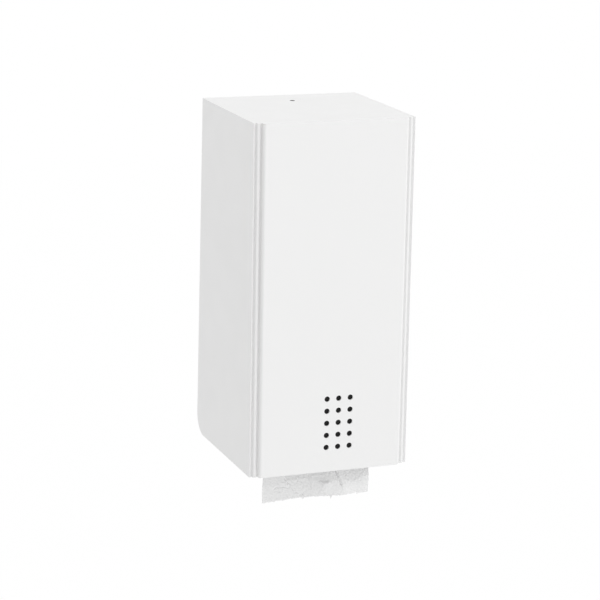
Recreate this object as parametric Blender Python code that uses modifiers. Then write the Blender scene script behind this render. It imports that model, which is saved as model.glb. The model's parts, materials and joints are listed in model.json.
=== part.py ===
"""Wall-mounted toilet roll dispenser that holds one roll in use and one in reserve above it.

A white sheet-steel cover swings forwards and down on two studs at its lower rear corners. A folded steel
bracket on the wall carries the cover, two sprung spindles with their rolls, and the latch under the top.

Units are metres, +Z is up, X runs across the front, the front faces -Y and the wall is the plane y = 0. The
origin is on the bracket's rear face at mid height of the cover.
"""

from math import cos, pi, radians, sin, tan

import bmesh
import bpy
from mathutils import Euler, Vector

# Rolls
ROLL_DIAMETER = 0.115
USED_ROLL_DIAMETER = 0.077
ROLL_WIDTH = 0.099
CORE_DIAMETER = 0.043
CORE_WALL = 0.0006

# Room left round the rolls
ROLL_FLOOR_SPACE = 0.0175
ROLL_STACK_SPACE = 0.015
ROLL_REAR_SPACE = 0.0155
ROLL_FRONT_SPACE = 0.0143
ROLL_SIDE_PLAY = 0.0155
LATCH_BAY = 0.0438

# Clearances shared by many pieces
GAP = 0.0003
CUT_OVERRUN = 0.003

# Cover
COVER_SHEET = 0.0012
COVER_WALL_GAP = 0.0005
CHEEK_TO_COVER = 0.0048
TOP_EDGE = 0.0003
REAR_CORNER_RADIUS = 0.018
WING_FLARE = 0.0034
COVER_LEVEL_SHARES = (0.13, 0.35, 0.57, 0.79)
WING_COLUMN_SHARES = (0.33, 0.66)
REAR_CORNER_STEPS = 7

# Rolled joint of the front and a side, from the side's rim over two grooves and the bead between them to
# the front's rim. Each corner is (distance in from the side, distance back from the front, radius).
CORNER_STEPS = 4
CORNER_REACH = 0.0125
CORNER_OUTSIDE = (
    (0.0, 0.00392, 0.0004),
    (0.00246, 0.00636, 0.0005),
    (0.00321, 0.00335, 0.0006),
    (0.00486, 0.00306, 0.0006),
    (0.00728, 0.00514, 0.0005),
    (0.00755, 0.0, 0.0023),
)
CORNER_INSIDE = (
    (COVER_SHEET, 0.0076, 0.0012),
    (0.0080, 0.0076, 0.0020),
    (0.0099, COVER_SHEET, 0.0015),
)

# Holes in the cover
SIGHT_HOLE_DIAMETER = 0.0049
SIGHT_HOLE_PITCH_X = 0.01065
SIGHT_HOLE_PITCH_Z = 0.0109
SIGHT_HOLE_COLUMNS = 3
SIGHT_HOLE_ROWS = 5
SIGHT_GRID_CENTRE_X = 0.0066
SIGHT_GRID_RISE = 0.0439
LOCK_HOLE_DIAMETER = 0.0043
LOCK_HOLE_INSET = 0.0328
HOLE_SIDES = 12

# Smoked strip behind the sight holes
SIGHT_STRIP_MARGIN = 0.0065
SIGHT_STRIP_THICKNESS = 0.001
SIGHT_STRIP_CORNER = 0.002

# Wall bracket
BRACKET_SHEET = 0.0015
BRACKET_BEND_RADIUS = 0.003
BRACKET_TOP_SPACE = 0.0083
CHEEK_FRONT_MARGIN = 0.017
CHEEK_FOOT_MARGIN = 0.012
CHEEK_FOOT_RISE = 0.018
CHEEK_SPINDLE_MARGIN = 0.030
CHEEK_TOP_REACH = 0.045
CHEEK_ROUND = 0.010
FIXING_HOLE_DIAMETER = 0.0055
FIXING_HOLE_HALF_SPACING_X = 0.040
FIXING_HOLE_HALF_SPACING_Z = 0.105
ARC_STEPS = 5

# Sprung spindles
PLUNGER_DIAMETER = 0.020
PLUNGER_WALL = 0.0018
SLEEVE_WALL = 0.0017
SLEEVE_LENGTH = 0.083
PLUNGER_ENGAGEMENT = 0.022
SPINDLE_END_WALL = 0.0025
SPINDLE_END_FLOAT = 0.0005
SPINDLE_EDGE = 0.0010
NUB_DIAMETER = 0.008
NUB_PROUD = 0.001
NUB_EDGE = 0.0012
SPINDLE_SPRING_WIRE = 0.0012
SPINDLE_SPRING_PLAY = 0.0010
SPINDLE_SPRING_TURNS = 9

# Bushes for the spindles
SPINDLE_BUSH_WALL = 0.002
SPINDLE_BUSH_LIP = 0.003
SPINDLE_BUSH_FLANGE = 0.0012
SPINDLE_BUSH_TAIL = 0.0015

# Cover hinge
HINGE_SHAFT_DIAMETER = 0.006
HINGE_SHOULDER_DIAMETER = 0.0095
HINGE_BASE_DIAMETER = 0.014
HINGE_BASE_THICKNESS = 0.0015
HINGE_BUSH_WALL = 0.0014
HINGE_BUSH_LIP = 0.0022
HINGE_BUSH_FLANGE = 0.001
HINGE_BUSH_TAIL = 0.0008
HINGE_CLIP_DIAMETER = 0.010
HINGE_CLIP_THICKNESS = 0.0008
HINGE_CLIP_FLOAT = 0.0006
HINGE_GROOVE_DEPTH = 0.0006
HINGE_END_LENGTH = 0.0015

# Latch
LATCH_TOP_SPACE = 0.0105
LATCH_BRACKET_HEIGHT = 0.028
LATCH_BRACKET_WIDTH = 0.030
LATCH_BRACKET_BEND = 0.003
LATCH_ARM_MARGIN = 0.008
LATCH_PIN_DIAMETER = 0.005
LATCH_COLLAR_DIAMETER = 0.009
LATCH_COLLAR_THICKNESS = 0.0015
LATCH_TIP_PLAY = 0.0004
LATCH_TIP_SPACE = 0.0007
LATCH_LIFT = 0.0016
LATCH_TAIL_LENGTH = 0.004
LATCH_NECK_LENGTH = 0.002
LATCH_TAPER_LENGTH = 0.0025
LATCH_SPRING_WIRE = 0.0007
LATCH_SPRING_TURNS = 6
LATCH_STUD_DIAMETER = 0.004
LATCH_STUD_LENGTH = 0.0085
LATCH_STUD_FLANGE_DIAMETER = 0.0048
LATCH_STUD_FLANGE_THICKNESS = 0.0007
LATCH_STUD_HALF_SPACING = 0.0095
LATCH_NUT_WIDTH = 0.007
LATCH_NUT_THICKNESS = 0.0032
NUT_SIDES = 6

# Rubber buffers
BUFFER_DIAMETER = 0.010
BUFFER_PLAY = 0.001
BUFFER_ROUND = 0.0012
BUFFER_STEM_DIAMETER = 0.004
BUFFER_BULB_DIAMETER = 0.0064
BUFFER_BULB_LENGTH = 0.0016
BUFFER_BEHIND_AXIS = 0.015
BUFFER_ABOVE_SPINDLE = 0.040

# Hanging paper
TAIL_DROP = 0.036
TAIL_THICKNESS = 0.0005
TAIL_TEAR_HEIGHT = 0.0011
TAIL_FOLD_DEPTH = 0.0009
TAIL_TEAR_WAVES = 9.0
TAIL_TEAR_FINE_WAVES = 23.0
TAIL_TEAR_FINE_PHASE = 1.0
TAIL_FOLDS = 1.5
TAIL_COLUMNS = 24
TAIL_ROWS = 8

# Facets of turned pieces and coils
ROUND_STEPS = 20
ROLL_STEPS = 48
COIL_POINTS_PER_TURN = 8
COIL_BEVEL_RESOLUTION = 1
MERGE_DISTANCE = 0.00001
SMOOTH_ANGLE = radians(35.0)

# Overall cover, built round the rolls
COVER_WIDTH = ROLL_WIDTH + 2 * (ROLL_SIDE_PLAY + BRACKET_SHEET + CHEEK_TO_COVER + COVER_SHEET)
COVER_DEPTH = ROLL_REAR_SPACE + ROLL_DIAMETER + ROLL_FRONT_SPACE + COVER_SHEET - COVER_WALL_GAP
COVER_HEIGHT = ROLL_FLOOR_SPACE + 2 * ROLL_DIAMETER + ROLL_STACK_SPACE + LATCH_BAY + COVER_SHEET
HALF_WIDTH = COVER_WIDTH / 2
COVER_TOP = COVER_HEIGHT / 2
COVER_BOTTOM = -COVER_HEIGHT / 2
COVER_REAR = -COVER_WALL_GAP
COVER_FRONT = COVER_REAR - COVER_DEPTH
HINGE_Y = COVER_REAR - REAR_CORNER_RADIUS
HINGE_Z = COVER_BOTTOM + REAR_CORNER_RADIUS

# Places of the rolls and spindles
CORE_INNER_RADIUS = CORE_DIAMETER / 2 - CORE_WALL
SLEEVE_BORE_RADIUS = PLUNGER_DIAMETER / 2 + GAP
SPINDLE_RADIUS = SLEEVE_BORE_RADIUS + SLEEVE_WALL
ROLL_HANG = CORE_INNER_RADIUS - GAP - SPINDLE_RADIUS
AXIS_Y = -(ROLL_REAR_SPACE + ROLL_DIAMETER / 2)
LOWER_ROLL_Z = COVER_BOTTOM + ROLL_FLOOR_SPACE + ROLL_DIAMETER / 2
UPPER_ROLL_Z = LOWER_ROLL_Z + ROLL_DIAMETER + ROLL_STACK_SPACE
LOWER_SPINDLE_Z = LOWER_ROLL_Z + ROLL_HANG
UPPER_SPINDLE_Z = UPPER_ROLL_Z + ROLL_HANG

# Places along X of what the cheeks carry
CHEEK_OUTER = HALF_WIDTH - COVER_SHEET - CHEEK_TO_COVER
CHEEK_INNER = CHEEK_OUTER - BRACKET_SHEET
BUSH_FACE = CHEEK_INNER - GAP - SPINDLE_BUSH_FLANGE
BUSH_END = CHEEK_OUTER + SPINDLE_BUSH_TAIL
SPINDLE_SHOULDER = BUSH_FACE - SPINDLE_END_FLOAT
NUB_END = BUSH_END + NUB_PROUD
SLEEVE_MOUTH = -SPINDLE_SHOULDER + SLEEVE_LENGTH

# Places up the latch
LATCH_Y = COVER_REAR - LOCK_HOLE_INSET
COVER_CEILING = COVER_TOP - COVER_SHEET
LATCH_BRACKET_TOP = COVER_CEILING - LATCH_TOP_SPACE
LATCH_BRACKET_BOTTOM = LATCH_BRACKET_TOP - LATCH_BRACKET_HEIGHT
LATCH_COLLAR_TOP = LATCH_BRACKET_TOP - BRACKET_SHEET - LATCH_LIFT - GAP
LATCH_COLLAR_BOTTOM = LATCH_COLLAR_TOP - LATCH_COLLAR_THICKNESS
LATCH_TIP_TOP = COVER_CEILING - LATCH_TIP_SPACE
PLATE_FRONT = -BRACKET_SHEET

WHITE = (0.87, 0.87, 0.86)
ZINC = (0.62, 0.63, 0.65)
STEEL = (0.55, 0.56, 0.58)
NYLON = (0.80, 0.79, 0.74)
GREY_PLASTIC = (0.45, 0.46, 0.48)
DARK_RUBBER = (0.03, 0.03, 0.03)
TISSUE = (0.84, 0.84, 0.84)
BOARD = (0.48, 0.38, 0.27)
SMOKE = (0.02, 0.02, 0.02)


def new_material(name, colour, roughness, metallic):
    """Make a Principled material and return it."""
    material = bpy.data.materials.new(name)
    material.use_nodes = True
    shader = material.node_tree.nodes["Principled BSDF"]
    shader.inputs["Base Color"].default_value = (*colour, 1.0)
    shader.inputs["Roughness"].default_value = roughness
    shader.inputs["Metallic"].default_value = metallic
    material.diffuse_color = (*colour, 1.0)
    return material


def rounded_outline(corners, steps):
    """Return a closed outline whose corners, given as (u, v, radius), are rounded with arcs."""
    outline = []
    count = len(corners)
    for index, (u, v, radius) in enumerate(corners):
        here = Vector((u, v))
        if not radius:
            outline.append(here)
            continue
        before = (Vector(corners[index - 1][:2]) - here).normalized()
        after = (Vector(corners[(index + 1) % count][:2]) - here).normalized()
        half = before.angle(after) / 2
        centre = here + (before + after).normalized() * radius / sin(half)
        start = here + before * radius / tan(half) - centre
        end = here + after * radius / tan(half) - centre
        for step in range(steps + 1):
            outline.append(centre + start.slerp(end, step / steps) * radius)
    return outline


def mesh_object(name, vertices, faces, edges=()):
    """Make an object from vertices and faces, in no collection yet."""
    mesh = bpy.data.meshes.new(name)
    mesh.from_pydata([tuple(vertex) for vertex in vertices], list(edges), faces)
    mesh.validate()
    mesh.update()
    return bpy.data.objects.new(name, mesh)


class Dispenser:
    """Collections, materials and joint empties that the pieces are added to."""

    def __init__(self):
        self.parts = bpy.data.collections.new("toilet_roll_dispenser")
        self.cutters = bpy.data.collections.new("cutters")
        for collection in (self.parts, self.cutters):
            bpy.context.scene.collection.children.link(collection)
        self.white_paint = new_material("white_paint", WHITE, 0.4, 0.0)
        self.zinc_steel = new_material("zinc_steel", ZINC, 0.4, 0.9)
        self.bright_steel = new_material("bright_steel", STEEL, 0.3, 0.9)
        self.nylon = new_material("nylon", NYLON, 0.5, 0.0)
        self.grey_plastic = new_material("grey_plastic", GREY_PLASTIC, 0.5, 0.0)
        self.rubber = new_material("rubber", DARK_RUBBER, 0.8, 0.0)
        self.tissue = new_material("tissue", TISSUE, 0.9, 0.0)
        self.board = new_material("board", BOARD, 0.9, 0.0)
        self.smoked_plastic = new_material("smoked_plastic", SMOKE, 0.2, 0.0)

    def pivot(self, name, location):
        """Add an empty on a joint's axis and return it."""
        empty = bpy.data.objects.new(name, None)
        empty.empty_display_size = ROLL_WIDTH / 4
        empty.location = location
        self.parts.objects.link(empty)
        return empty

    def add(self, piece, material, pivot, location=(0, 0, 0), rotation=(0, 0, 0)):
        """Put a piece at a world place, under its joint's empty, in its material."""
        piece.data.materials.clear()
        piece.data.materials.append(material)
        piece.parent = pivot
        piece.location = Vector(location) - pivot.location
        piece.rotation_euler = rotation
        self.parts.objects.link(piece)
        return piece

    def cut(self, piece, cutter, operation="DIFFERENCE"):
        """Cut a piece with a hidden cutter that shares its pivot."""
        cutter.parent = piece.parent
        cutter.location = cutter.location - piece.parent.location
        cutter.hide_render = True
        cutter.display_type = "WIRE"
        self.cutters.objects.link(cutter)
        boolean = piece.modifiers.new(cutter.name, "BOOLEAN")
        boolean.object = cutter
        boolean.operation = operation
        boolean.solver = "EXACT"


def turned(name, profile, steps, closed=False):
    """Turn a profile of (height, radius) pairs, outer side from top to bottom, about local Z."""
    vertices = [(radius, 0, height) for height, radius in profile]
    edges = [(index, index + 1) for index in range(len(profile) - 1)]
    if closed:
        edges.append((len(profile) - 1, 0))
    blank = mesh_object(name + "_profile", vertices, [], edges)
    screw = blank.modifiers.new("turn", "SCREW")
    screw.axis = "Z"
    screw.steps = steps
    screw.render_steps = steps
    screw.use_merge_vertices = True
    screw.merge_threshold = MERGE_DISTANCE
    scene_objects = bpy.context.scene.collection.objects
    scene_objects.link(blank)
    graph = bpy.context.evaluated_depsgraph_get()
    mesh = bpy.data.meshes.new_from_object(blank.evaluated_get(graph))
    scene_objects.unlink(blank)
    bpy.data.objects.remove(blank)
    mesh.name = name
    mesh.shade_smooth()
    mesh.set_sharp_from_angle(angle=SMOOTH_ANGLE)
    return bpy.data.objects.new(name, mesh)


def ring_profile(top, bottom, outer_radius, inner_radius):
    """Return the closed profile of a plain ring or tube."""
    return [(top, outer_radius), (bottom, outer_radius), (bottom, inner_radius), (top, inner_radius)]


def cylinders(name, centres, axis, radius, length, sides):
    """Make one mesh of equal cylinders along X, Y or Z, for cutting holes."""
    turn = {"X": (0, pi / 2, 0), "Y": (pi / 2, 0, 0), "Z": (0, 0, 0)}[axis]
    mesh = bpy.data.meshes.new(name)
    shape = bmesh.new()
    for centre in centres:
        made = bmesh.ops.create_cone(
            shape,
            cap_ends=True,
            segments=sides,
            radius1=radius,
            radius2=radius,
            depth=length,
        )
        corners = made["verts"]
        bmesh.ops.rotate(shape, verts=corners, matrix=Euler(turn).to_matrix())
        bmesh.ops.translate(shape, verts=corners, vec=centre)
    shape.to_mesh(mesh)
    shape.free()
    return bpy.data.objects.new(name, mesh)


def strip_along(name, path, along, low, high, thickness):
    """Make a bent strip: an open surface drawn from a flat path, then thickened inwards.

    The path lies in the plane across the axis `along` ("X": points are (y, z); "Z": points are (x, y)).
    """
    vertices = []
    for level in (low, high):
        for first, second in path:
            vertices.append((level, first, second) if along == "X" else (first, second, level))
    count = len(path)
    faces = [(i, i + 1, count + i + 1, count + i) for i in range(count - 1)]
    strip = mesh_object(name, vertices, faces)
    solidify = strip.modifiers.new("sheet", "SOLIDIFY")
    solidify.thickness = thickness
    solidify.offset = -1.0
    solidify.use_even_offset = True
    return strip


def arc(centre, radius, start, end, steps):
    """Return points of an arc from one angle to another, both ends included."""
    return [
        (
            centre[0] + radius * cos(start + (end - start) * step / steps),
            centre[1] + radius * sin(start + (end - start) * step / steps),
        )
        for step in range(steps + 1)
    ]


def coil(name, radius, wire, start, end, turns):
    """Make a helical spring along local Z as one tube with filled ends."""
    curve = bpy.data.curves.new(name, "CURVE")
    curve.dimensions = "3D"
    curve.bevel_depth = wire / 2
    curve.bevel_resolution = COIL_BEVEL_RESOLUTION
    curve.use_fill_caps = True
    spline = curve.splines.new("POLY")
    count = turns * COIL_POINTS_PER_TURN + 1
    spline.points.add(count - 1)
    for index, point in enumerate(spline.points):
        angle = 2 * pi * index / COIL_POINTS_PER_TURN
        height = start + (end - start) * index / (count - 1)
        point.co = (radius * cos(angle), radius * sin(angle), height, 1.0)
    return bpy.data.objects.new(name, curve)


def flared(x, y, z):
    """Widen x towards the rear and the bottom, where the cover's sides spring outwards."""
    depth_share = (y - COVER_FRONT) / COVER_DEPTH
    drop_share = (COVER_TOP - z) / COVER_HEIGHT
    return x * (1 + WING_FLARE / HALF_WIDTH * depth_share * drop_share)


def cover_columns(inside):
    """List one surface's columns from rear left to rear right, as the height of the foot and (x, y)."""
    sheet = COVER_SHEET if inside else 0
    half = []
    for step in range(REAR_CORNER_STEPS + 1):
        angle = pi / 2 * step / REAR_CORNER_STEPS
        foot = HINGE_Z - REAR_CORNER_RADIUS * sin(angle)
        half.append((foot, (sheet - HALF_WIDTH, HINGE_Y + REAR_CORNER_RADIUS * cos(angle))))
    corner_rear = COVER_FRONT + CORNER_REACH
    for share in WING_COLUMN_SHARES:
        half.append((COVER_BOTTOM, (sheet - HALF_WIDTH, HINGE_Y + (corner_rear - HINGE_Y) * share)))
    corners = CORNER_INSIDE if inside else CORNER_OUTSIDE
    line = [(sheet, CORNER_REACH, 0), *corners, (CORNER_REACH, sheet, 0)]
    for inward, back in rounded_outline(line, CORNER_STEPS):
        half.append((COVER_BOTTOM, (inward - HALF_WIDTH, COVER_FRONT + back)))
    return half + [(foot, (-x, y)) for foot, (x, y) in reversed(half)]


def cover_surface(inside):
    """Return each column's points from its foot to the top; the outer surface ends in a small chamfer."""
    columns = cover_columns(inside)
    levels = [COVER_BOTTOM + COVER_HEIGHT * share for share in COVER_LEVEL_SHARES]
    surface = []
    for index, (foot, (x, y)) in enumerate(columns):
        rows = [(x, y, height) for height in (foot, *levels)]
        if inside:
            rows.append((x, y, COVER_CEILING))
        else:
            before = Vector(columns[max(index - 1, 0)][1])
            after = Vector(columns[min(index + 1, len(columns) - 1)][1])
            along = (after - before).normalized()
            rows.append((x, y, COVER_TOP - TOP_EDGE))
            rows.append((x - along.y * TOP_EDGE, y + along.x * TOP_EDGE, COVER_TOP))
        surface.append([(flared(across, deep, height), deep, height) for across, deep, height in rows])
    return surface


def cover_shell():
    """Loft the folded cover: outer and inner surfaces joined round the bottom and the rear edge."""
    vertices = []
    faces = []
    outer = []
    inner = []
    for index, inside in ((outer, False), (inner, True)):
        for column in cover_surface(inside):
            index.append(list(range(len(vertices), len(vertices) + len(column))))
            vertices += column
        for left, right in zip(index, index[1:]):
            for row in range(len(left) - 1):
                quad = (left[row], right[row], right[row + 1], left[row + 1])
                faces.append(quad[::-1] if inside else quad)
    rear = REAR_CORNER_STEPS
    for left in (*range(rear), *range(-rear - 1, -1)):
        faces.append((outer[left + 1][0], outer[left][0], inner[left][0], inner[left + 1][0]))
    flat_outer = outer[rear : len(outer) - rear]
    flat_inner = inner[rear : len(inner) - rear]
    faces.append([column[0] for column in reversed(flat_outer)] + [column[0] for column in flat_inner])
    faces.append([column[-1] for column in outer])
    faces.append([column[-1] for column in reversed(inner)])
    faces.append(outer[0] + outer[-1][::-1] + inner[-1] + inner[0][::-1])
    return mesh_object("front_cover", vertices, faces)


def add_cover(model, hinge):
    """Add the cover with its sight holes and lock hole."""
    cover = model.add(cover_shell(), model.white_paint, hinge)
    centres = []
    for column in range(SIGHT_HOLE_COLUMNS):
        for row in range(SIGHT_HOLE_ROWS):
            x = SIGHT_GRID_CENTRE_X + (column - (SIGHT_HOLE_COLUMNS - 1) / 2) * SIGHT_HOLE_PITCH_X
            rise = SIGHT_GRID_RISE + (row - (SIGHT_HOLE_ROWS - 1) / 2) * SIGHT_HOLE_PITCH_Z
            centres.append((x, COVER_FRONT + COVER_SHEET / 2, COVER_BOTTOM + rise))
    length = COVER_SHEET + 2 * CUT_OVERRUN
    radius = SIGHT_HOLE_DIAMETER / 2
    model.cut(cover, cylinders("sight_hole_cutter", centres, "Y", radius, length, HOLE_SIDES))
    lock = (0, LATCH_Y, COVER_TOP - COVER_SHEET / 2)
    radius = LOCK_HOLE_DIAMETER / 2
    model.cut(cover, cylinders("lock_hole_cutter", [lock], "Z", radius, length, HOLE_SIDES))


def add_sight_strip(model, hinge):
    """Add the smoked strip that is stuck inside the front, over the sight holes."""
    grid_width = (SIGHT_HOLE_COLUMNS - 1) * SIGHT_HOLE_PITCH_X + SIGHT_HOLE_DIAMETER
    grid_height = (SIGHT_HOLE_ROWS - 1) * SIGHT_HOLE_PITCH_Z + SIGHT_HOLE_DIAMETER
    half_width = grid_width / 2 + SIGHT_STRIP_MARGIN
    half_height = grid_height / 2 + SIGHT_STRIP_MARGIN
    corners = [
        (side_x * half_width, side_z * half_height, SIGHT_STRIP_CORNER)
        for side_x, side_z in ((-1, -1), (1, -1), (1, 1), (-1, 1))
    ]
    outline = rounded_outline(corners, ARC_STEPS)
    front = COVER_FRONT + COVER_SHEET + GAP
    count = len(outline)
    vertices = [(x, y, z) for y in (front, front + SIGHT_STRIP_THICKNESS) for x, z in outline]
    faces = [list(range(count)), list(range(2 * count - 1, count - 1, -1))]
    for left in range(count):
        right = (left + 1) % count
        faces.append((right, left, count + left, count + right))
    strip = mesh_object("sight_strip", vertices, faces)
    centre = Vector((SIGHT_GRID_CENTRE_X, 0, COVER_BOTTOM + SIGHT_GRID_RISE))
    model.add(strip, model.smoked_plastic, hinge, centre)


def wing_inside(y, z):
    """Distance from the middle plane to the inner face of the cover's side at a place."""
    return flared(HALF_WIDTH - COVER_SHEET, y, z)


def add_cover_hinge(model, root, hinge):
    """Add the stud, bush and clip on each side of the cover's hinge."""
    base_radius = HINGE_BASE_DIAMETER / 2
    shaft_radius = HINGE_SHAFT_DIAMETER / 2
    shoulder_radius = HINGE_SHOULDER_DIAMETER / 2
    groove_radius = shaft_radius - HINGE_GROOVE_DEPTH
    seat = wing_inside(HINGE_Y - base_radius, HINGE_Z + base_radius) - GAP
    bush_flange_low = CHEEK_OUTER + GAP
    bush_flange_high = bush_flange_low + HINGE_BUSH_FLANGE
    bush_low = CHEEK_INNER - HINGE_BUSH_TAIL
    shoulder = bush_flange_high + GAP
    clip_high = bush_low - HINGE_CLIP_FLOAT
    clip_low = clip_high - HINGE_CLIP_THICKNESS
    stud_profile = [
        (seat, 0),
        (seat, base_radius),
        (seat - HINGE_BASE_THICKNESS, base_radius),
        (seat - HINGE_BASE_THICKNESS, shoulder_radius),
        (shoulder, shoulder_radius),
        (shoulder, shaft_radius),
        (clip_high + GAP, shaft_radius),
        (clip_high + GAP, groove_radius),
        (clip_low - GAP, groove_radius),
        (clip_low - GAP, shaft_radius),
        (clip_low - GAP - HINGE_END_LENGTH, shaft_radius),
        (clip_low - GAP - HINGE_END_LENGTH, 0),
    ]
    bore = shaft_radius + GAP
    collar = bore + HINGE_BUSH_WALL
    bush_profile = [
        (bush_flange_high, collar + HINGE_BUSH_LIP),
        (bush_flange_low, collar + HINGE_BUSH_LIP),
        (bush_flange_low, collar),
        (bush_low, collar),
        (bush_low, bore),
        (bush_flange_high, bore),
    ]
    clip_profile = ring_profile(clip_high, clip_low, HINGE_CLIP_DIAMETER / 2, groove_radius + GAP)
    place = (0, HINGE_Y, HINGE_Z)
    for side, name in ((-1, "left"), (1, "right")):
        turn = (0, side * pi / 2, 0)
        stud = turned("hinge_stud_" + name, stud_profile, ROUND_STEPS)
        model.add(stud, model.bright_steel, hinge, place, turn)
        clip = turned("hinge_clip_" + name, clip_profile, ROUND_STEPS, closed=True)
        model.add(clip, model.bright_steel, hinge, place, turn)
        bush = turned("hinge_bush_" + name, bush_profile, ROUND_STEPS, closed=True)
        model.add(bush, model.nylon, root, place, turn)


def cheek_outline():
    """Side outline of the bracket as (y, z) corners, rounded where the sheet is rounded."""
    foot_y = HINGE_Y - CHEEK_FOOT_MARGIN
    bottom = HINGE_Z - CHEEK_FOOT_MARGIN
    front_y = AXIS_Y - CHEEK_FRONT_MARGIN
    top = COVER_CEILING - BRACKET_TOP_SPACE
    corners = [
        (CUT_OVERRUN, top, 0),
        (-CHEEK_TOP_REACH, top, CHEEK_ROUND),
        (front_y, UPPER_SPINDLE_Z + CHEEK_SPINDLE_MARGIN, CHEEK_ROUND),
        (front_y, LOWER_SPINDLE_Z - CHEEK_SPINDLE_MARGIN, CHEEK_ROUND),
        (foot_y, HINGE_Z + CHEEK_FOOT_RISE, CHEEK_ROUND),
        (foot_y, bottom, CHEEK_FOOT_MARGIN),
        (CUT_OVERRUN, bottom, 0),
    ]
    return rounded_outline(corners, ARC_STEPS)


def extruded_side(name, outline, half_length):
    """Extrude a (y, z) outline along X, the same distance to both sides."""
    mesh = bpy.data.meshes.new(name)
    shape = bmesh.new()
    corners = [shape.verts.new((-half_length, y, z)) for y, z in outline]
    face = shape.faces.new(corners)
    made = bmesh.ops.extrude_face_region(shape, geom=[face])
    moved = [item for item in made["geom"] if isinstance(item, bmesh.types.BMVert)]
    bmesh.ops.translate(shape, verts=moved, vec=(2 * half_length, 0, 0))
    bmesh.ops.recalc_face_normals(shape, faces=shape.faces)
    shape.to_mesh(mesh)
    shape.free()
    return bpy.data.objects.new(name, mesh)


def add_wall_bracket(model, root):
    """Add the folded bracket: a channel trimmed to the cheeks' outline and drilled."""
    front_y = AXIS_Y - CHEEK_FRONT_MARGIN - CUT_OVERRUN
    bend_x = CHEEK_OUTER - BRACKET_BEND_RADIUS
    bend_y = -BRACKET_BEND_RADIUS
    path = [(CHEEK_OUTER, front_y)]
    path += arc((bend_x, bend_y), BRACKET_BEND_RADIUS, 0, pi / 2, ARC_STEPS)
    path += arc((-bend_x, bend_y), BRACKET_BEND_RADIUS, pi / 2, pi, ARC_STEPS)
    path.append((-CHEEK_OUTER, front_y))
    outline = cheek_outline()
    low = min(z for y, z in outline) - CUT_OVERRUN
    high = max(z for y, z in outline) + CUT_OVERRUN
    bracket = strip_along("wall_bracket", path, "Z", low, high, BRACKET_SHEET)
    model.add(bracket, model.zinc_steel, root)
    trim = extruded_side("bracket_trim_cutter", outline, CHEEK_OUTER + CUT_OVERRUN)
    model.cut(bracket, trim, "INTERSECT")

    across = 2 * (CHEEK_OUTER + CUT_OVERRUN)
    bush_radius = NUB_DIAMETER / 2 + GAP + SPINDLE_BUSH_WALL + GAP
    places = [(0, AXIS_Y, LOWER_SPINDLE_Z), (0, AXIS_Y, UPPER_SPINDLE_Z)]
    model.cut(bracket, cylinders("spindle_hole_cutter", places, "X", bush_radius, across, ROUND_STEPS))
    hinge_radius = HINGE_SHAFT_DIAMETER / 2 + GAP + HINGE_BUSH_WALL + GAP
    places = [(0, HINGE_Y, HINGE_Z)]
    model.cut(bracket, cylinders("hinge_hole_cutter", places, "X", hinge_radius, across, ROUND_STEPS))
    stem_radius = BUFFER_STEM_DIAMETER / 2 + GAP
    places = [(0, *buffer_place())]
    model.cut(bracket, cylinders("buffer_hole_cutter", places, "X", stem_radius, across, HOLE_SIDES))
    places = [
        (side * FIXING_HOLE_HALF_SPACING_X, PLATE_FRONT / 2, end * FIXING_HOLE_HALF_SPACING_Z)
        for side in (-1, 1)
        for end in (-1, 1)
    ]
    length = BRACKET_SHEET + 2 * CUT_OVERRUN
    radius = FIXING_HOLE_DIAMETER / 2
    model.cut(bracket, cylinders("fixing_hole_cutter", places, "Y", radius, length, HOLE_SIDES))


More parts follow.
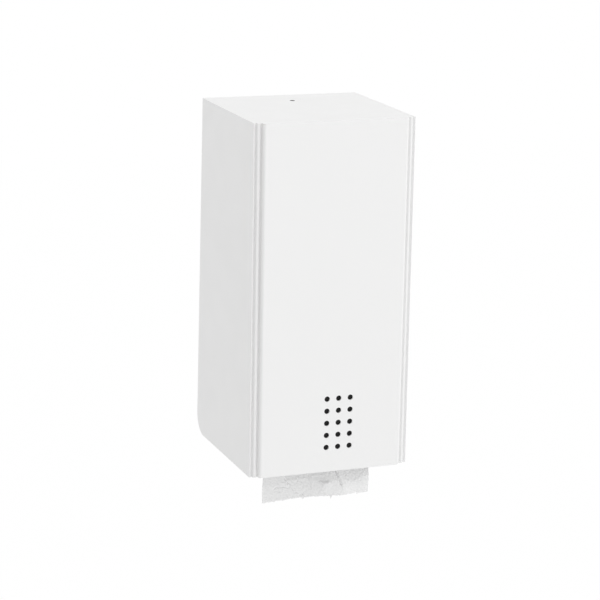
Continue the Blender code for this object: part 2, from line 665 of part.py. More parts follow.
def add_spindle(model, name, height, sleeve_pivot, plunger_pivot, root):
    """Add one sprung spindle: sleeve, plunger, spring and the two bushes that carry it."""
    nub_radius = NUB_DIAMETER / 2
    plunger_radius = PLUNGER_DIAMETER / 2
    plunger_bore = plunger_radius - PLUNGER_WALL
    floor = SPINDLE_SHOULDER - SPINDLE_END_WALL
    place = (0, AXIS_Y, height)
    left = (0, -pi / 2, 0)
    right = (0, pi / 2, 0)
    nub = [(NUB_END, 0), (NUB_END, nub_radius - NUB_EDGE), (NUB_END - NUB_EDGE, nub_radius)]
    sleeve_profile = nub + [
        (SPINDLE_SHOULDER, nub_radius),
        (SPINDLE_SHOULDER, SPINDLE_RADIUS - SPINDLE_EDGE),
        (SPINDLE_SHOULDER - SPINDLE_EDGE, SPINDLE_RADIUS),
        (-SLEEVE_MOUTH, SPINDLE_RADIUS),
        (-SLEEVE_MOUTH, SLEEVE_BORE_RADIUS),
        (floor, SLEEVE_BORE_RADIUS),
        (floor, 0),
    ]
    sleeve = turned(name + "_spindle_sleeve", sleeve_profile, ROUND_STEPS)
    model.add(sleeve, model.grey_plastic, sleeve_pivot, place, left)
    plunger_end = SLEEVE_MOUTH - PLUNGER_ENGAGEMENT
    plunger_profile = nub + [
        (SPINDLE_SHOULDER, nub_radius),
        (SPINDLE_SHOULDER, plunger_radius - SPINDLE_EDGE),
        (SPINDLE_SHOULDER - SPINDLE_EDGE, plunger_radius),
        (plunger_end, plunger_radius),
        (plunger_end, plunger_bore),
        (floor, plunger_bore),
        (floor, 0),
    ]
    plunger = turned(name + "_spindle_plunger", plunger_profile, ROUND_STEPS)
    model.add(plunger, model.grey_plastic, plunger_pivot, place, right)
    reach = floor - GAP - SPINDLE_SPRING_WIRE / 2
    mean_radius = plunger_bore - SPINDLE_SPRING_PLAY - SPINDLE_SPRING_WIRE / 2
    spring = coil(
        name + "_spindle_spring",
        mean_radius,
        SPINDLE_SPRING_WIRE,
        -reach,
        reach,
        SPINDLE_SPRING_TURNS,
    )
    model.add(spring, model.bright_steel, sleeve_pivot, place, right)
    bore = nub_radius + GAP
    collar = bore + SPINDLE_BUSH_WALL
    bush_profile = [
        (BUSH_END, collar),
        (CHEEK_INNER - GAP, collar),
        (CHEEK_INNER - GAP, collar + SPINDLE_BUSH_LIP),
        (BUSH_FACE, collar + SPINDLE_BUSH_LIP),
        (BUSH_FACE, bore),
        (BUSH_END, bore),
    ]
    for side, turn in (("left", left), ("right", right)):
        bush = turned(f"{name}_bush_{side}", bush_profile, ROUND_STEPS, closed=True)
        model.add(bush, model.nylon, root, place, turn)


def add_roll(model, name, height, diameter, pivot):
    """Add a cardboard core and the tissue wound on it."""
    core_radius = CORE_DIAMETER / 2
    half = ROLL_WIDTH / 2
    place = (0, AXIS_Y, height)
    turn = (0, pi / 2, 0)
    core_profile = ring_profile(half, -half, core_radius, CORE_INNER_RADIUS)
    core = turned(name + "_roll_core", core_profile, ROLL_STEPS, closed=True)
    model.add(core, model.board, pivot, place, turn)
    paper_profile = ring_profile(half, -half, diameter / 2, core_radius + GAP)
    paper = turned(name + "_roll_paper", paper_profile, ROLL_STEPS, closed=True)
    model.add(paper, model.tissue, pivot, place, turn)


def add_latch(model, root, latch):
    """Add the latch pin, its spring, its guide bracket and the studs and nuts that hold that."""
    pin_radius = LATCH_PIN_DIAMETER / 2
    tip_radius = LOCK_HOLE_DIAMETER / 2 - LATCH_TIP_PLAY
    collar_radius = LATCH_COLLAR_DIAMETER / 2
    neck = LATCH_BRACKET_TOP + LATCH_NECK_LENGTH
    pin_profile = [
        (LATCH_TIP_TOP, 0),
        (LATCH_TIP_TOP, tip_radius),
        (neck + LATCH_TAPER_LENGTH, tip_radius),
        (neck, pin_radius),
        (LATCH_COLLAR_TOP, pin_radius),
        (LATCH_COLLAR_TOP, collar_radius),
        (LATCH_COLLAR_BOTTOM, collar_radius),
        (LATCH_COLLAR_BOTTOM, pin_radius),
        (LATCH_BRACKET_BOTTOM - LATCH_TAIL_LENGTH, pin_radius),
        (LATCH_BRACKET_BOTTOM - LATCH_TAIL_LENGTH, 0),
    ]
    pin = turned("latch_pin", pin_profile, ROUND_STEPS)
    model.add(pin, model.bright_steel, latch, (0, LATCH_Y, 0))

    hole_radius = pin_radius + GAP
    spring_radius = hole_radius + GAP + LATCH_SPRING_WIRE / 2
    spring_low = LATCH_BRACKET_BOTTOM + BRACKET_SHEET + GAP + LATCH_SPRING_WIRE / 2
    spring_high = LATCH_COLLAR_BOTTOM - GAP - LATCH_SPRING_WIRE / 2
    spring = coil(
        "latch_spring", spring_radius, LATCH_SPRING_WIRE, spring_low, spring_high, LATCH_SPRING_TURNS
    )
    model.add(spring, model.bright_steel, root, (0, LATCH_Y, 0))

    rear = PLATE_FRONT - GAP
    arm_y = LATCH_Y - LATCH_ARM_MARGIN
    bend = LATCH_BRACKET_BEND
    path = [(arm_y, LATCH_BRACKET_BOTTOM)]
    path += arc((rear - bend, LATCH_BRACKET_BOTTOM + bend), bend, -pi / 2, 0, ARC_STEPS)
    path += arc((rear - bend, LATCH_BRACKET_TOP - bend), bend, 0, pi / 2, ARC_STEPS)
    path.append((arm_y, LATCH_BRACKET_TOP))
    half = LATCH_BRACKET_WIDTH / 2
    bracket = strip_along("latch_bracket", path, "X", -half, half, BRACKET_SHEET)
    model.add(bracket, model.zinc_steel, root)
    middle = (LATCH_BRACKET_TOP + LATCH_BRACKET_BOTTOM) / 2
    length = LATCH_BRACKET_HEIGHT + 2 * CUT_OVERRUN
    pin_hole = [(0, LATCH_Y, middle)]
    model.cut(bracket, cylinders("latch_pin_hole_cutter", pin_hole, "Z", hole_radius, length, ROUND_STEPS))
    flange_radius = LATCH_STUD_FLANGE_DIAMETER / 2
    places = [(side * LATCH_STUD_HALF_SPACING, rear, middle) for side in (-1, 1)]
    length = 2 * (BRACKET_SHEET + CUT_OVERRUN)
    stud_holes = cylinders(
        "latch_stud_hole_cutter", places, "Y", flange_radius + GAP, length, HOLE_SIDES
    )
    model.cut(bracket, stud_holes)

    shank_radius = LATCH_STUD_DIAMETER / 2
    stud_profile = [
        (LATCH_STUD_LENGTH, 0),
        (LATCH_STUD_LENGTH, shank_radius),
        (LATCH_STUD_FLANGE_THICKNESS, shank_radius),
        (LATCH_STUD_FLANGE_THICKNESS, flange_radius),
        (0, flange_radius),
        (0, 0),
    ]
    nut_rear = rear - BRACKET_SHEET - GAP
    for side, name in ((-1, "left"), (1, "right")):
        x = side * LATCH_STUD_HALF_SPACING
        stud = turned("latch_stud_" + name, stud_profile, HOLE_SIDES)
        model.add(stud, model.bright_steel, root, (x, rear, middle), (pi / 2, 0, 0))
        centre = (x, nut_rear - LATCH_NUT_THICKNESS / 2, middle)
        nut_radius = LATCH_NUT_WIDTH / 2 / cos(pi / NUT_SIDES)
        nut = cylinders(
            "latch_nut_" + name, [(0, 0, 0)], "Y", nut_radius, LATCH_NUT_THICKNESS, NUT_SIDES
        )
        model.add(nut, model.bright_steel, root, centre)
        bore_length = LATCH_NUT_THICKNESS + 2 * CUT_OVERRUN
        bore = cylinders(
            f"latch_nut_{name}_cutter", [centre], "Y", shank_radius + GAP, bore_length, HOLE_SIDES
        )
        model.cut(nut, bore)


def buffer_place():
    """Place of the buffers on the cheeks as (y, z)."""
    return AXIS_Y + BUFFER_BEHIND_AXIS, UPPER_SPINDLE_Z + BUFFER_ABOVE_SPINDLE


def add_buffers(model, root):
    """Add the rubber buffer that is pushed into each cheek."""
    head_top = CHEEK_OUTER + CHEEK_TO_COVER - BUFFER_PLAY
    head_radius = BUFFER_DIAMETER / 2
    stem_radius = BUFFER_STEM_DIAMETER / 2
    bulb_top = CHEEK_INNER - GAP
    profile = [
        (head_top, 0),
        (head_top, head_radius - BUFFER_ROUND),
        (head_top - BUFFER_ROUND, head_radius),
        (CHEEK_OUTER + GAP, head_radius),
        (CHEEK_OUTER + GAP, stem_radius),
        (bulb_top, stem_radius),
        (bulb_top, BUFFER_BULB_DIAMETER / 2),
        (bulb_top - BUFFER_BULB_LENGTH, stem_radius),
        (bulb_top - BUFFER_BULB_LENGTH, 0),
    ]
    for side, name in ((-1, "left"), (1, "right")):
        buffer = turned("cover_buffer_" + name, profile, ROUND_STEPS)
        model.add(buffer, model.rubber, root, (0, *buffer_place()), (0, side * pi / 2, 0))


def add_paper_tail(model, root):
    """Add the loose end of the tissue, an open sheet given its thickness, with a torn lower edge."""
    half = ROLL_WIDTH / 2
    top = LOWER_ROLL_Z
    bottom = COVER_BOTTOM - TAIL_DROP
    sheet_y = AXIS_Y - USED_ROLL_DIAMETER / 2 - GAP - TAIL_THICKNESS / 2
    vertices = []
    for row in range(TAIL_ROWS + 1):
        fall = row / TAIL_ROWS
        for column in range(TAIL_COLUMNS + 1):
            share = 2 * column / TAIL_COLUMNS - 1
            fine = sin(TAIL_TEAR_FINE_WAVES * share + TAIL_TEAR_FINE_PHASE)
            tear = sin(TAIL_TEAR_WAVES * share) + fine / 2
            z = top + (bottom + TAIL_TEAR_HEIGHT * tear - top) * fall
            y = sheet_y - TAIL_FOLD_DEPTH * fall * fall * (1 + sin(TAIL_FOLDS * pi * share)) / 2
            vertices.append((half * share, y, z))
    faces = []
    width = TAIL_COLUMNS + 1
    for row in range(TAIL_ROWS):
        for column in range(TAIL_COLUMNS):
            corner = row * width + column
            faces.append((corner, corner + width, corner + width + 1, corner + 1))
    tail = mesh_object("paper_tail", vertices, faces)
    solidify = tail.modifiers.new("tissue", "SOLIDIFY")
    solidify.thickness = TAIL_THICKNESS
    solidify.offset = 0.0
    model.add(tail, model.tissue, root)


def main():
    """Build the whole dispenser."""
    for old in list(bpy.data.objects):
        bpy.data.objects.remove(old)
    model = Dispenser()
    root = model.pivot("wall_mount", (0, 0, 0))
    hinge = model.pivot("cover_hinge_axis", (0, HINGE_Y, HINGE_Z))
    latch = model.pivot("latch_axis", (0, LATCH_Y, LATCH_TIP_TOP))
    add_cover(model, hinge)
    add_sight_strip(model, hinge)
    add_cover_hinge(model, root, hinge)
    add_wall_bracket(model, root)
    add_latch(model, root, latch)
    add_buffers(model, root)
    rolls = (
        ("lower", LOWER_ROLL_Z, LOWER_SPINDLE_Z, USED_ROLL_DIAMETER),
        ("upper", UPPER_ROLL_Z, UPPER_SPINDLE_Z, ROLL_DIAMETER),
    )
    for name, roll_z, spindle_z, diameter in rolls:
        sleeve_pivot = model.pivot(name + "_spindle_axis", (0, AXIS_Y, spindle_z))
        plunger_pivot = model.pivot(name + "_plunger_axis", (SPINDLE_SHOULDER, AXIS_Y, spindle_z))
        roll_pivot = model.pivot(name + "_roll_axis", (0, AXIS_Y, roll_z))
        add_spindle(model, name, spindle_z, sleeve_pivot, plunger_pivot, root)
        add_roll(model, name, roll_z, diameter, roll_pivot)
    add_paper_tail(model, root)


main()
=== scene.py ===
"""Scene of a wall-mounted toilet roll dispenser: its dressed pieces, their finishes, the light and the camera.

The packed CAD model is the frame. Everything here is in metres in its axes: +Z is up, X runs across the front,
the front faces -Y, and the origin is on the wall bracket's rear face at mid height of the cover. Only the
relief of the hanging tissue is worked out in millimetres.
"""

import json
import logging
import math
from collections.abc import Iterator, Sequence
from contextlib import contextmanager
from dataclasses import dataclass
from enum import Enum

import bmesh
import bpy
import numpy as np
from mathutils import Matrix

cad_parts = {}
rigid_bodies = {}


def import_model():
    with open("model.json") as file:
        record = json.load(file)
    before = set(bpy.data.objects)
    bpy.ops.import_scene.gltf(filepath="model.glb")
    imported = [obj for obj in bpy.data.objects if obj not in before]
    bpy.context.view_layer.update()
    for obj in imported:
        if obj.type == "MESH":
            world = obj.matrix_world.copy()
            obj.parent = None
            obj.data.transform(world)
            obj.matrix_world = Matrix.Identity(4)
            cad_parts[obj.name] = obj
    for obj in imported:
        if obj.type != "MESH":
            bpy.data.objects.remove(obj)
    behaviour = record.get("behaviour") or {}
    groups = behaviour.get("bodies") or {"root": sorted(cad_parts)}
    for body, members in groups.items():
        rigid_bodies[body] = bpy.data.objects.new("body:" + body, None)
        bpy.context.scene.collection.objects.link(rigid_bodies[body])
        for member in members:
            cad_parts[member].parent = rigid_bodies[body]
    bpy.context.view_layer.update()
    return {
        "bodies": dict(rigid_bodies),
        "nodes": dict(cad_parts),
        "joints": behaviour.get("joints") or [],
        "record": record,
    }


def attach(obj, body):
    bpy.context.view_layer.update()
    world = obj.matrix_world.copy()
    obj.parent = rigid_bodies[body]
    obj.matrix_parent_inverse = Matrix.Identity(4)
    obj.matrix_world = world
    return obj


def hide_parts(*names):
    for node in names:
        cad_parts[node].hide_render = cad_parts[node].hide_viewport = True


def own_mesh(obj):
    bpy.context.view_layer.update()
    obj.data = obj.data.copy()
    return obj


Array = np.ndarray
Mesh = bpy.types.Mesh
Object = bpy.types.Object
Socket = bpy.types.NodeSocket
Pair = tuple[float, float]
Triple = tuple[float, float, float]

LOG = logging.getLogger("dispenser")
TURN = 2 * math.pi
MERGE_DISTANCE = 1e-6
EDGE_DEGREES = 50.0
UNROLLED = "unrolled"
NOISE_SPAN = (0.3, 0.7)
WHITE = (1.0, 1.0, 1.0, 1.0)
MM = 1000.0


@dataclass(frozen=True)
class Layout:
    """Sizes and places that several sub-assemblies share."""

    gap: float = 0.0003
    half_width: float = 0.0725
    cover_top: float = 0.15375
    cover_bottom: float = -0.15375
    cover_rear: float = -0.0005
    cover_front: float = -0.146
    cover_sheet: float = 0.0012
    hinge_y: float = -0.0185
    hinge_z: float = -0.13575
    wing_flare: float = 0.0034
    cheek_outer: float = 0.0665
    cheek_inner: float = 0.065
    bracket_sheet: float = 0.0015
    axis_y: float = -0.073
    roll_width: float = 0.099
    core_radius: float = 0.0215
    core_bore: float = 0.0209
    used_roll_radius: float = 0.0385
    full_roll_radius: float = 0.0575
    lower_roll_z: float = -0.07875
    upper_roll_z: float = 0.05125
    lower_spindle_z: float = -0.07015
    upper_spindle_z: float = 0.05985
    latch_y: float = -0.0333
    latch_bracket_top: float = 0.14205
    latch_bracket_bottom: float = 0.11405

    def flared(self, x: Array, y: Array, z: Array) -> Array:
        """Widen x towards the rear and the bottom.

        The widening is x times the flare's share of the half width, times how far back y is, as a share of
        the depth, times how far down z is, as a share of the height.

        Args:
            x: Distances from the middle plane.
            y: Places from front to rear.
            z: Heights.

        Returns:
            The widened distances.
        """
        depth_share = (y - self.cover_front) / (self.cover_rear - self.cover_front)
        drop_share = (self.cover_top - z) / (self.cover_top - self.cover_bottom)
        return x * (1 + self.wing_flare / self.half_width * depth_share * drop_share)


LAYOUT = Layout()


class Direction(Enum):
    """The way a turned piece's own axis points: two cross directions and the axis, right-handed."""

    RIGHT = ((0, 1, 0), (0, 0, 1), (1, 0, 0))
    LEFT = ((0, 1, 0), (0, 0, -1), (-1, 0, 0))
    UP = ((1, 0, 0), (0, 1, 0), (0, 0, 1))
    FRONT = ((1, 0, 0), (0, 0, 1), (0, -1, 0))

    def rows(self) -> Array:
        """Return the three directions as the rows of a matrix."""
        return np.array(self.value, dtype=float)


SIDES = (("left", Direction.LEFT), ("right", Direction.RIGHT))


@dataclass(frozen=True)
class Seat:
    """Where a turned piece stands: a point on its axis, and the way the axis points."""

    point: Triple
    direction: Direction

    def world(self, local: Array) -> Array:
        """Carry points given across and along the axis to their place in the frame."""
        return local @ self.direction.rows() + np.array(self.point)


def smooth_step(share: Array) -> Array:
    """Return 3s^2 - 2s^3 of a share s that is held between 0 and 1."""
    held = np.clip(share, 0.0, 1.0)
    return held * held * (3 - 2 * held)


def bell(offset: Array, width: float) -> Array:
    """Return 1 where the offset is 0, and e to minus the square of the offset over the width elsewhere."""
    return np.exp(-((offset / width) ** 2))


def positive(value: Array, softness: float) -> Array:
    """Return the value above 0 and 0 below it, with a bend between: half its sum with its softened size."""
    return (value + np.sqrt(value**2 + softness)) / 2


def travelled(line: Array) -> Array:
    """Return how far it is along a line of points to each of them."""
    return np.append(0.0, np.cumsum(np.linalg.norm(np.diff(line, axis=0), axis=1)))


def grid_faces(rows: int, columns: int, close_rows: bool = False, close_columns: bool = False) -> Array:
    """List the quads of a grid of points stored row by row.

    Args:
        rows: Number of rows of points.
        columns: Number of points in a row.
        close_rows: Whether the last row joins the first.
        close_columns: Whether each row's last point joins its first.

    Returns:
        One row of four point numbers for each quad.
    """
    number = np.arange(rows * columns).reshape(rows, columns)
    if close_rows:
        number = np.concatenate([number, number[:1]])
    if close_columns:
        number = np.concatenate([number, number[:, :1]], axis=1)
    corners = (number[:-1, :-1], number[1:, :-1], number[1:, 1:], number[:-1, 1:])
    return np.stack(corners, axis=-1).reshape(-1, 4)


def mesh_from(name: str, points: Array, faces: Sequence[Array], unrolled: Array | None = None) -> Mesh:
    """Make a mesh from arrays.

    Args:
        name: Name of the mesh.
        points: Places of the points, with x, y and z last.
        faces: Groups of faces, each group with as many columns as its faces have corners.
        unrolled: Place of each point on the unrolled surface, in metres, kept as a UV map.

    Returns:
        The mesh.
    """
    mesh = bpy.data.meshes.new(name)
    mesh.vertices.add(points.size // 3)
    mesh.vertices.foreach_set("co", points.astype(np.float32).ravel())
    corners = np.concatenate([group.ravel() for group in faces]).astype(np.int32)
    sizes = np.concatenate([np.full(len(group), group.shape[1]) for group in faces])
    mesh.loops.add(len(corners))
    mesh.loops.foreach_set("vertex_index", corners)
    mesh.polygons.add(len(sizes))
    mesh.polygons.foreach_set("loop_start", np.append(0, np.cumsum(sizes)[:-1]).astype(np.int32))
    mesh.update(calc_edges=True)
    if unrolled is not None:
        layer = mesh.uv_layers.new(name=UNROLLED)
        layer.data.foreach_set("uv", unrolled.reshape(-1, 2)[corners].astype(np.float32).ravel())
    return mesh


@contextmanager
def merged(mesh: Mesh) -> Iterator[bmesh.types.BMesh]:
    """Open a mesh for changes with the points that meet merged, and close it after them.

    Args:
        mesh: The mesh.

    Yields:
        The shape to change.
    """
    shape = bmesh.new()
    shape.from_mesh(mesh)
    bmesh.ops.remove_doubles(shape, verts=shape.verts, dist=MERGE_DISTANCE)
    yield shape
    shape.to_mesh(mesh)
    shape.free()


def smooth(mesh: Mesh, degrees: float) -> None:
    """Smooth the shading, and leave edges sharp that turn by more than so many degrees."""
    mesh.shade_smooth()
    mesh.set_sharp_from_angle(angle=math.radians(degrees))


def seal(mesh: Mesh, degrees: float = 35.0) -> Mesh:
    """Close the seams and poles of a shell, turn its faces outwards and smooth its shading.

    Args:
        mesh: Mesh of one closed shell.
        degrees: Edges that turn by more than this stay sharp.

    Returns:
        The same mesh.
    """
    with merged(mesh) as shape:
        bmesh.ops.recalc_face_normals(shape, faces=shape.faces)
    smooth(mesh, degrees)
    return mesh


def filleted(corners: Sequence[Triple], steps: int = 5) -> Array:
    """Round the corners of a flat profile.

    At a corner the arc's centre lies on the bisector, the radius over the sine of half the angle away, and
    the arc's points are the spherical blend of the two radii that touch the profile's sides.

    Args:
        corners: First and second coordinate and fillet radius of each corner. An open profile ends sharp.
        steps: Number of steps in each fillet.

    Returns:
        One row of two coordinates for each point of the rounded profile.
    """
    table = np.array(corners, dtype=float)
    blend = np.linspace(0.0, 1.0, steps + 1)[:, None]
    outline = []
    for index, (*here, radius) in enumerate(table):
        if not radius:
            outline.append([here])
            continue
        before = table[index - 1, :2] - here
        after = table[(index + 1) % len(table), :2] - here
        shortest = min(np.linalg.norm(before), np.linalg.norm(after))
        before, after = before / np.linalg.norm(before), after / np.linalg.norm(after)
        half = math.acos(float(np.clip(before @ after, -1.0, 1.0))) / 2
        held = min(radius, 0.49 * shortest * math.tan(half))
        bisector = (before + after) / np.linalg.norm(before + after)
        centre = here + bisector * held / math.sin(half)
        start, end = (here + side * held / math.tan(half) - centre for side in (before, after))
        spread = math.pi - 2 * half
        arc = np.sin((1 - blend) * spread) * start + np.sin(blend * spread) * end
        outline.append(centre + arc / math.sin(spread))
    return np.concatenate(outline)


def turned(
    name: str,
    profile: Array,
    seat: Seat,
    steps: int = 64,
    closed: bool = False,
    cut: Array | float = 0.0,
    degrees: float = 35.0,
) -> Mesh:
    """Turn a profile round an axis: each point goes round a circle of its own radius, less the cut there.

    Args:
        name: Name of the mesh.
        profile: Rows of distance along the axis and radius.
        seat: Place and direction of the axis.
        steps: Number of steps in a full turn.
        closed: Whether the profile is a loop, as for a ring; otherwise it starts and ends on the axis.
        cut: How much smaller the radius is, for each row of the profile and each step round. Where the last
            step's cut isn't the first's, a step in the surface joins them.
        degrees: Edges that turn by more than this stay sharp.

    Returns:
        The closed mesh, with the turned length and the profile's length as its unrolled surface.
    """
    angle = np.linspace(0.0, TURN, steps + 1)
    along, radius = profile[:, :1], profile[:, 1:] - cut
    local = np.stack([radius * np.cos(angle), radius * np.sin(angle), along + 0 * angle], axis=-1)
    unrolled = np.stack(np.meshgrid(angle * profile[:, 1].max(), travelled(profile)), axis=-1)
    faces = grid_faces(len(profile), steps + 1, closed, close_columns=True)
    return seal(mesh_from(name, seat.world(local), [faces], unrolled), degrees)


def tube(name: str, path: Array, outward: Array, radius: float, sides: int = 12) -> Mesh:
    """Carry a circle along a path and close both ends.

    Each circle lies across the path: its points are the path's point plus the radius times the cosine of
    the outward direction and the sine of the direction square to both it and the path.

    Args:
        name: Name of the mesh.
        path: Points that the tube's middle follows.
        outward: Unit direction across the path at each point.
        radius: Radius of the tube.
        sides: Number of sides.

    Returns:
        The closed mesh.
    """
    along = np.gradient(path, axis=0)
    along /= np.linalg.norm(along, axis=1, keepdims=True)
    across = np.cross(along, outward)[:, None]
    angle = np.linspace(0.0, TURN, sides + 1)[:, None]
    rings = path[:, None] + radius * (np.cos(angle) * outward[:, None] + np.sin(angle) * across)
    ends = np.repeat(path[[0, -1], None], sides + 1, axis=1)
    points = np.concatenate([ends[:1], rings, ends[1:]])
    return seal(mesh_from(name, points, [grid_faces(len(points), sides + 1)]), EDGE_DEGREES)


def stand(name: str, data: bpy.types.ID) -> Object:
    """Put a new object into the scene."""
    made = bpy.data.objects.new(name, data)
    bpy.context.scene.collection.objects.link(made)
    return made


def modify(piece: Object, kind: str, **settings: object) -> None:
    """Add a modifier to a piece.

    Args:
        piece: The piece.
        kind: Blender's name of the modifier type.
        settings: Fields of the modifier.
    """
    modifier = piece.modifiers.new(kind.lower(), kind)
    for key, value in settings.items():
        setattr(modifier, key, value)


def settle(piece: Object) -> None:
    """Give a piece the mesh that its modifiers make, and clear them.

    Args:
        piece: The piece.
    """
    graph = bpy.context.evaluated_depsgraph_get()
    made = bpy.data.meshes.new_from_object(piece.evaluated_get(graph))
    piece.modifiers.clear()
    piece.data = made


def break_edges(piece: Object, width: float, segments: int = 2) -> None:
    """Round the sharp edges of a piece, and hold the shading of its flat faces.

    Args:
        piece: The piece, with any cuts still in its modifiers.
        width: Width of the rounding.
        segments: Number of steps in the rounding.
    """
    limit = math.radians(EDGE_DEGREES)
    modify(piece, "BEVEL", width=width, segments=segments, limit_method="ANGLE", angle_limit=limit)
    settle(piece)
    smooth(piece.data, EDGE_DEGREES)
    modify(piece, "WEIGHTED_NORMAL", keep_sharp=True, weight=100)
    settle(piece)


class Nodes:
    """A node tree, with short calls that add nodes to it and join them."""

    def __init__(self, tree: bpy.types.NodeTree) -> None:
        """Keep the tree."""
        self.tree = tree

    def node(self, kind: str, inputs: dict | None = None, **settings: object) -> bpy.types.Node:
        """Add a node, set its fields and set or join its inputs.

        Args:
            kind: Blender's name of the node type.
            inputs: Value or source socket of each input, by its name or number.
            settings: Fields of the node.

        Returns:
            The node.
        """
        made = self.tree.nodes.new(kind)
        for key, value in settings.items():
            setattr(made, key, value)
        for key, value in (inputs or {}).items():
            if isinstance(value, Socket):
                self.tree.links.new(value, made.inputs[key])
            else:
                made.inputs[key].default_value = value
        return made

    def sum(self, operation: str, first: object, second: object) -> Socket:
        """Return one step of arithmetic."""
        return self.node("ShaderNodeMath", {0: first, 1: second}, operation=operation).outputs[0]

    def spread(self, value: Socket, low: float, high: float, source: Pair = (0.0, 1.0)) -> Socket:
        """Map a value from one range to another."""
        inputs = {"Value": value, "From Min": source[0], "From Max": source[1], "To Min": low, "To Max": high}
        return self.node("ShaderNodeMapRange", inputs).outputs[0]

    def seen(self) -> Socket:
        """Return 1 for rays from the camera, from a mirror or through glass, and 0 for the rest."""
        rays = self.node("ShaderNodeLightPath").outputs
        straight = self.sum("MAXIMUM", rays["Is Camera Ray"], rays["Is Glossy Ray"])
        return self.sum("MAXIMUM", straight, rays["Is Transmission Ray"])


class Shader(Nodes):
    """One Principled material."""

    def __init__(self, name: str, sockets: dict[str, object]) -> None:
        """Start a material and set the shader's own sockets.

        Args:
            name: Name of the material.
            sockets: Value of each socket that is the same all over the surface.
        """
        self.material = bpy.data.materials.new(name)
        self.material.use_nodes = True
        super().__init__(self.material.node_tree)
        self.surface = self.tree.nodes["Principled BSDF"]
        for socket, value in sockets.items():
            self.surface.inputs[socket].default_value = value
        self.height: Socket | None = None

    def drive(self, socket: str, value: Socket) -> None:
        """Join a value to one of the shader's own sockets."""
        self.tree.links.new(value, self.surface.inputs[socket])

    def mapped(self, source: Socket, scale: Triple, turn: Triple) -> Socket:
        """Scale and turn a place."""
        return self.node("ShaderNodeMapping", {"Vector": source, "Scale": scale, "Rotation": turn}).outputs[0]

    def place(self, scale: Triple = (1.0, 1.0, 1.0), turn: Triple = (0.0, 0.0, 0.0)) -> Socket:
        """Return Object coordinates, scaled and turned."""
        return self.mapped(self.node("ShaderNodeTexCoord").outputs["Object"], scale, turn)

    def unrolled(self, scale: Triple = (1.0, 1.0, 1.0), turn: Triple = (0.0, 0.0, 0.0)) -> Socket:
        """Return the place on the unrolled surface, in metres, scaled and turned."""
        return self.mapped(self.node("ShaderNodeUVMap", uv_map=UNROLLED).outputs[0], scale, turn)

    def noise(self, vector: Socket, scale: float, detail: float = 2.0) -> Socket:
        """Return smooth noise between 0 and 1 at so many lumps per metre."""
        return self.node("ShaderNodeTexNoise", {"Vector": vector, "Scale": scale, "Detail": detail}).outputs[0]

    def tint(self, factor: Socket, colour: Triple, shares: Pair) -> None:
        """Let the base colour run between two shades of a colour.

        Args:
            factor: 0 where the first shade is, and 1 where the second is.
            colour: The colour.
            shares: What the colour is multiplied by for each shade.
        """
        first, second = ((*(channel * share for channel in colour), 1.0) for share in shares)
        mixed = self.node("ShaderNodeMix", {"Factor": factor, 6: first, 7: second}, data_type="RGBA")
        self.drive("Base Color", mixed.outputs[2])

    def raise_by(self, height: Socket, distance: float) -> None:
        """Add a relief on top of the reliefs so far.

        Args:
            height: The relief, from 0 to 1.
            distance: How far out a height of 1 stands.
        """
        inputs = {"Height": height, "Distance": distance, "Strength": 1.0}
        if self.height is not None:
            inputs["Normal"] = self.height
        self.height = self.node("ShaderNodeBump", inputs).outputs[0]
        self.drive("Normal", self.height)


@dataclass(frozen=True)
class Finish:
    """A finish that the record names; subclasses add its pattern and relief.

    The shades are shares of the colour, and the wander is how far below and above its value the roughness goes.
    """

    slot: str
    colour: Triple
    roughness: float
    shades: Pair = (0.94, 1.03)
    wander: Pair = (0.05, 0.05)
    metallic: float = 0.0

    def sockets(self) -> dict[str, object]:
        """Return the shader's own values."""
        return {"Base Color": (*self.colour, 1.0), "Roughness": self.roughness, "Metallic": self.metallic}

    def roughen(self, shader: Shader, value: Socket, source: Pair = NOISE_SPAN) -> None:
        """Let the roughness wander with a value that crosses its source range."""
        below, above = self.wander
        shader.drive("Roughness", shader.spread(value, self.roughness - below, self.roughness + above, source))

    def dress(self, shader: Shader) -> None:
        """Add the finish's pattern to its shader."""
        raise NotImplementedError

    def material(self) -> bpy.types.Material:
        """Build the material."""
        shader = Shader(self.slot, self.sockets())
        self.dress(shader)
        return shader.material


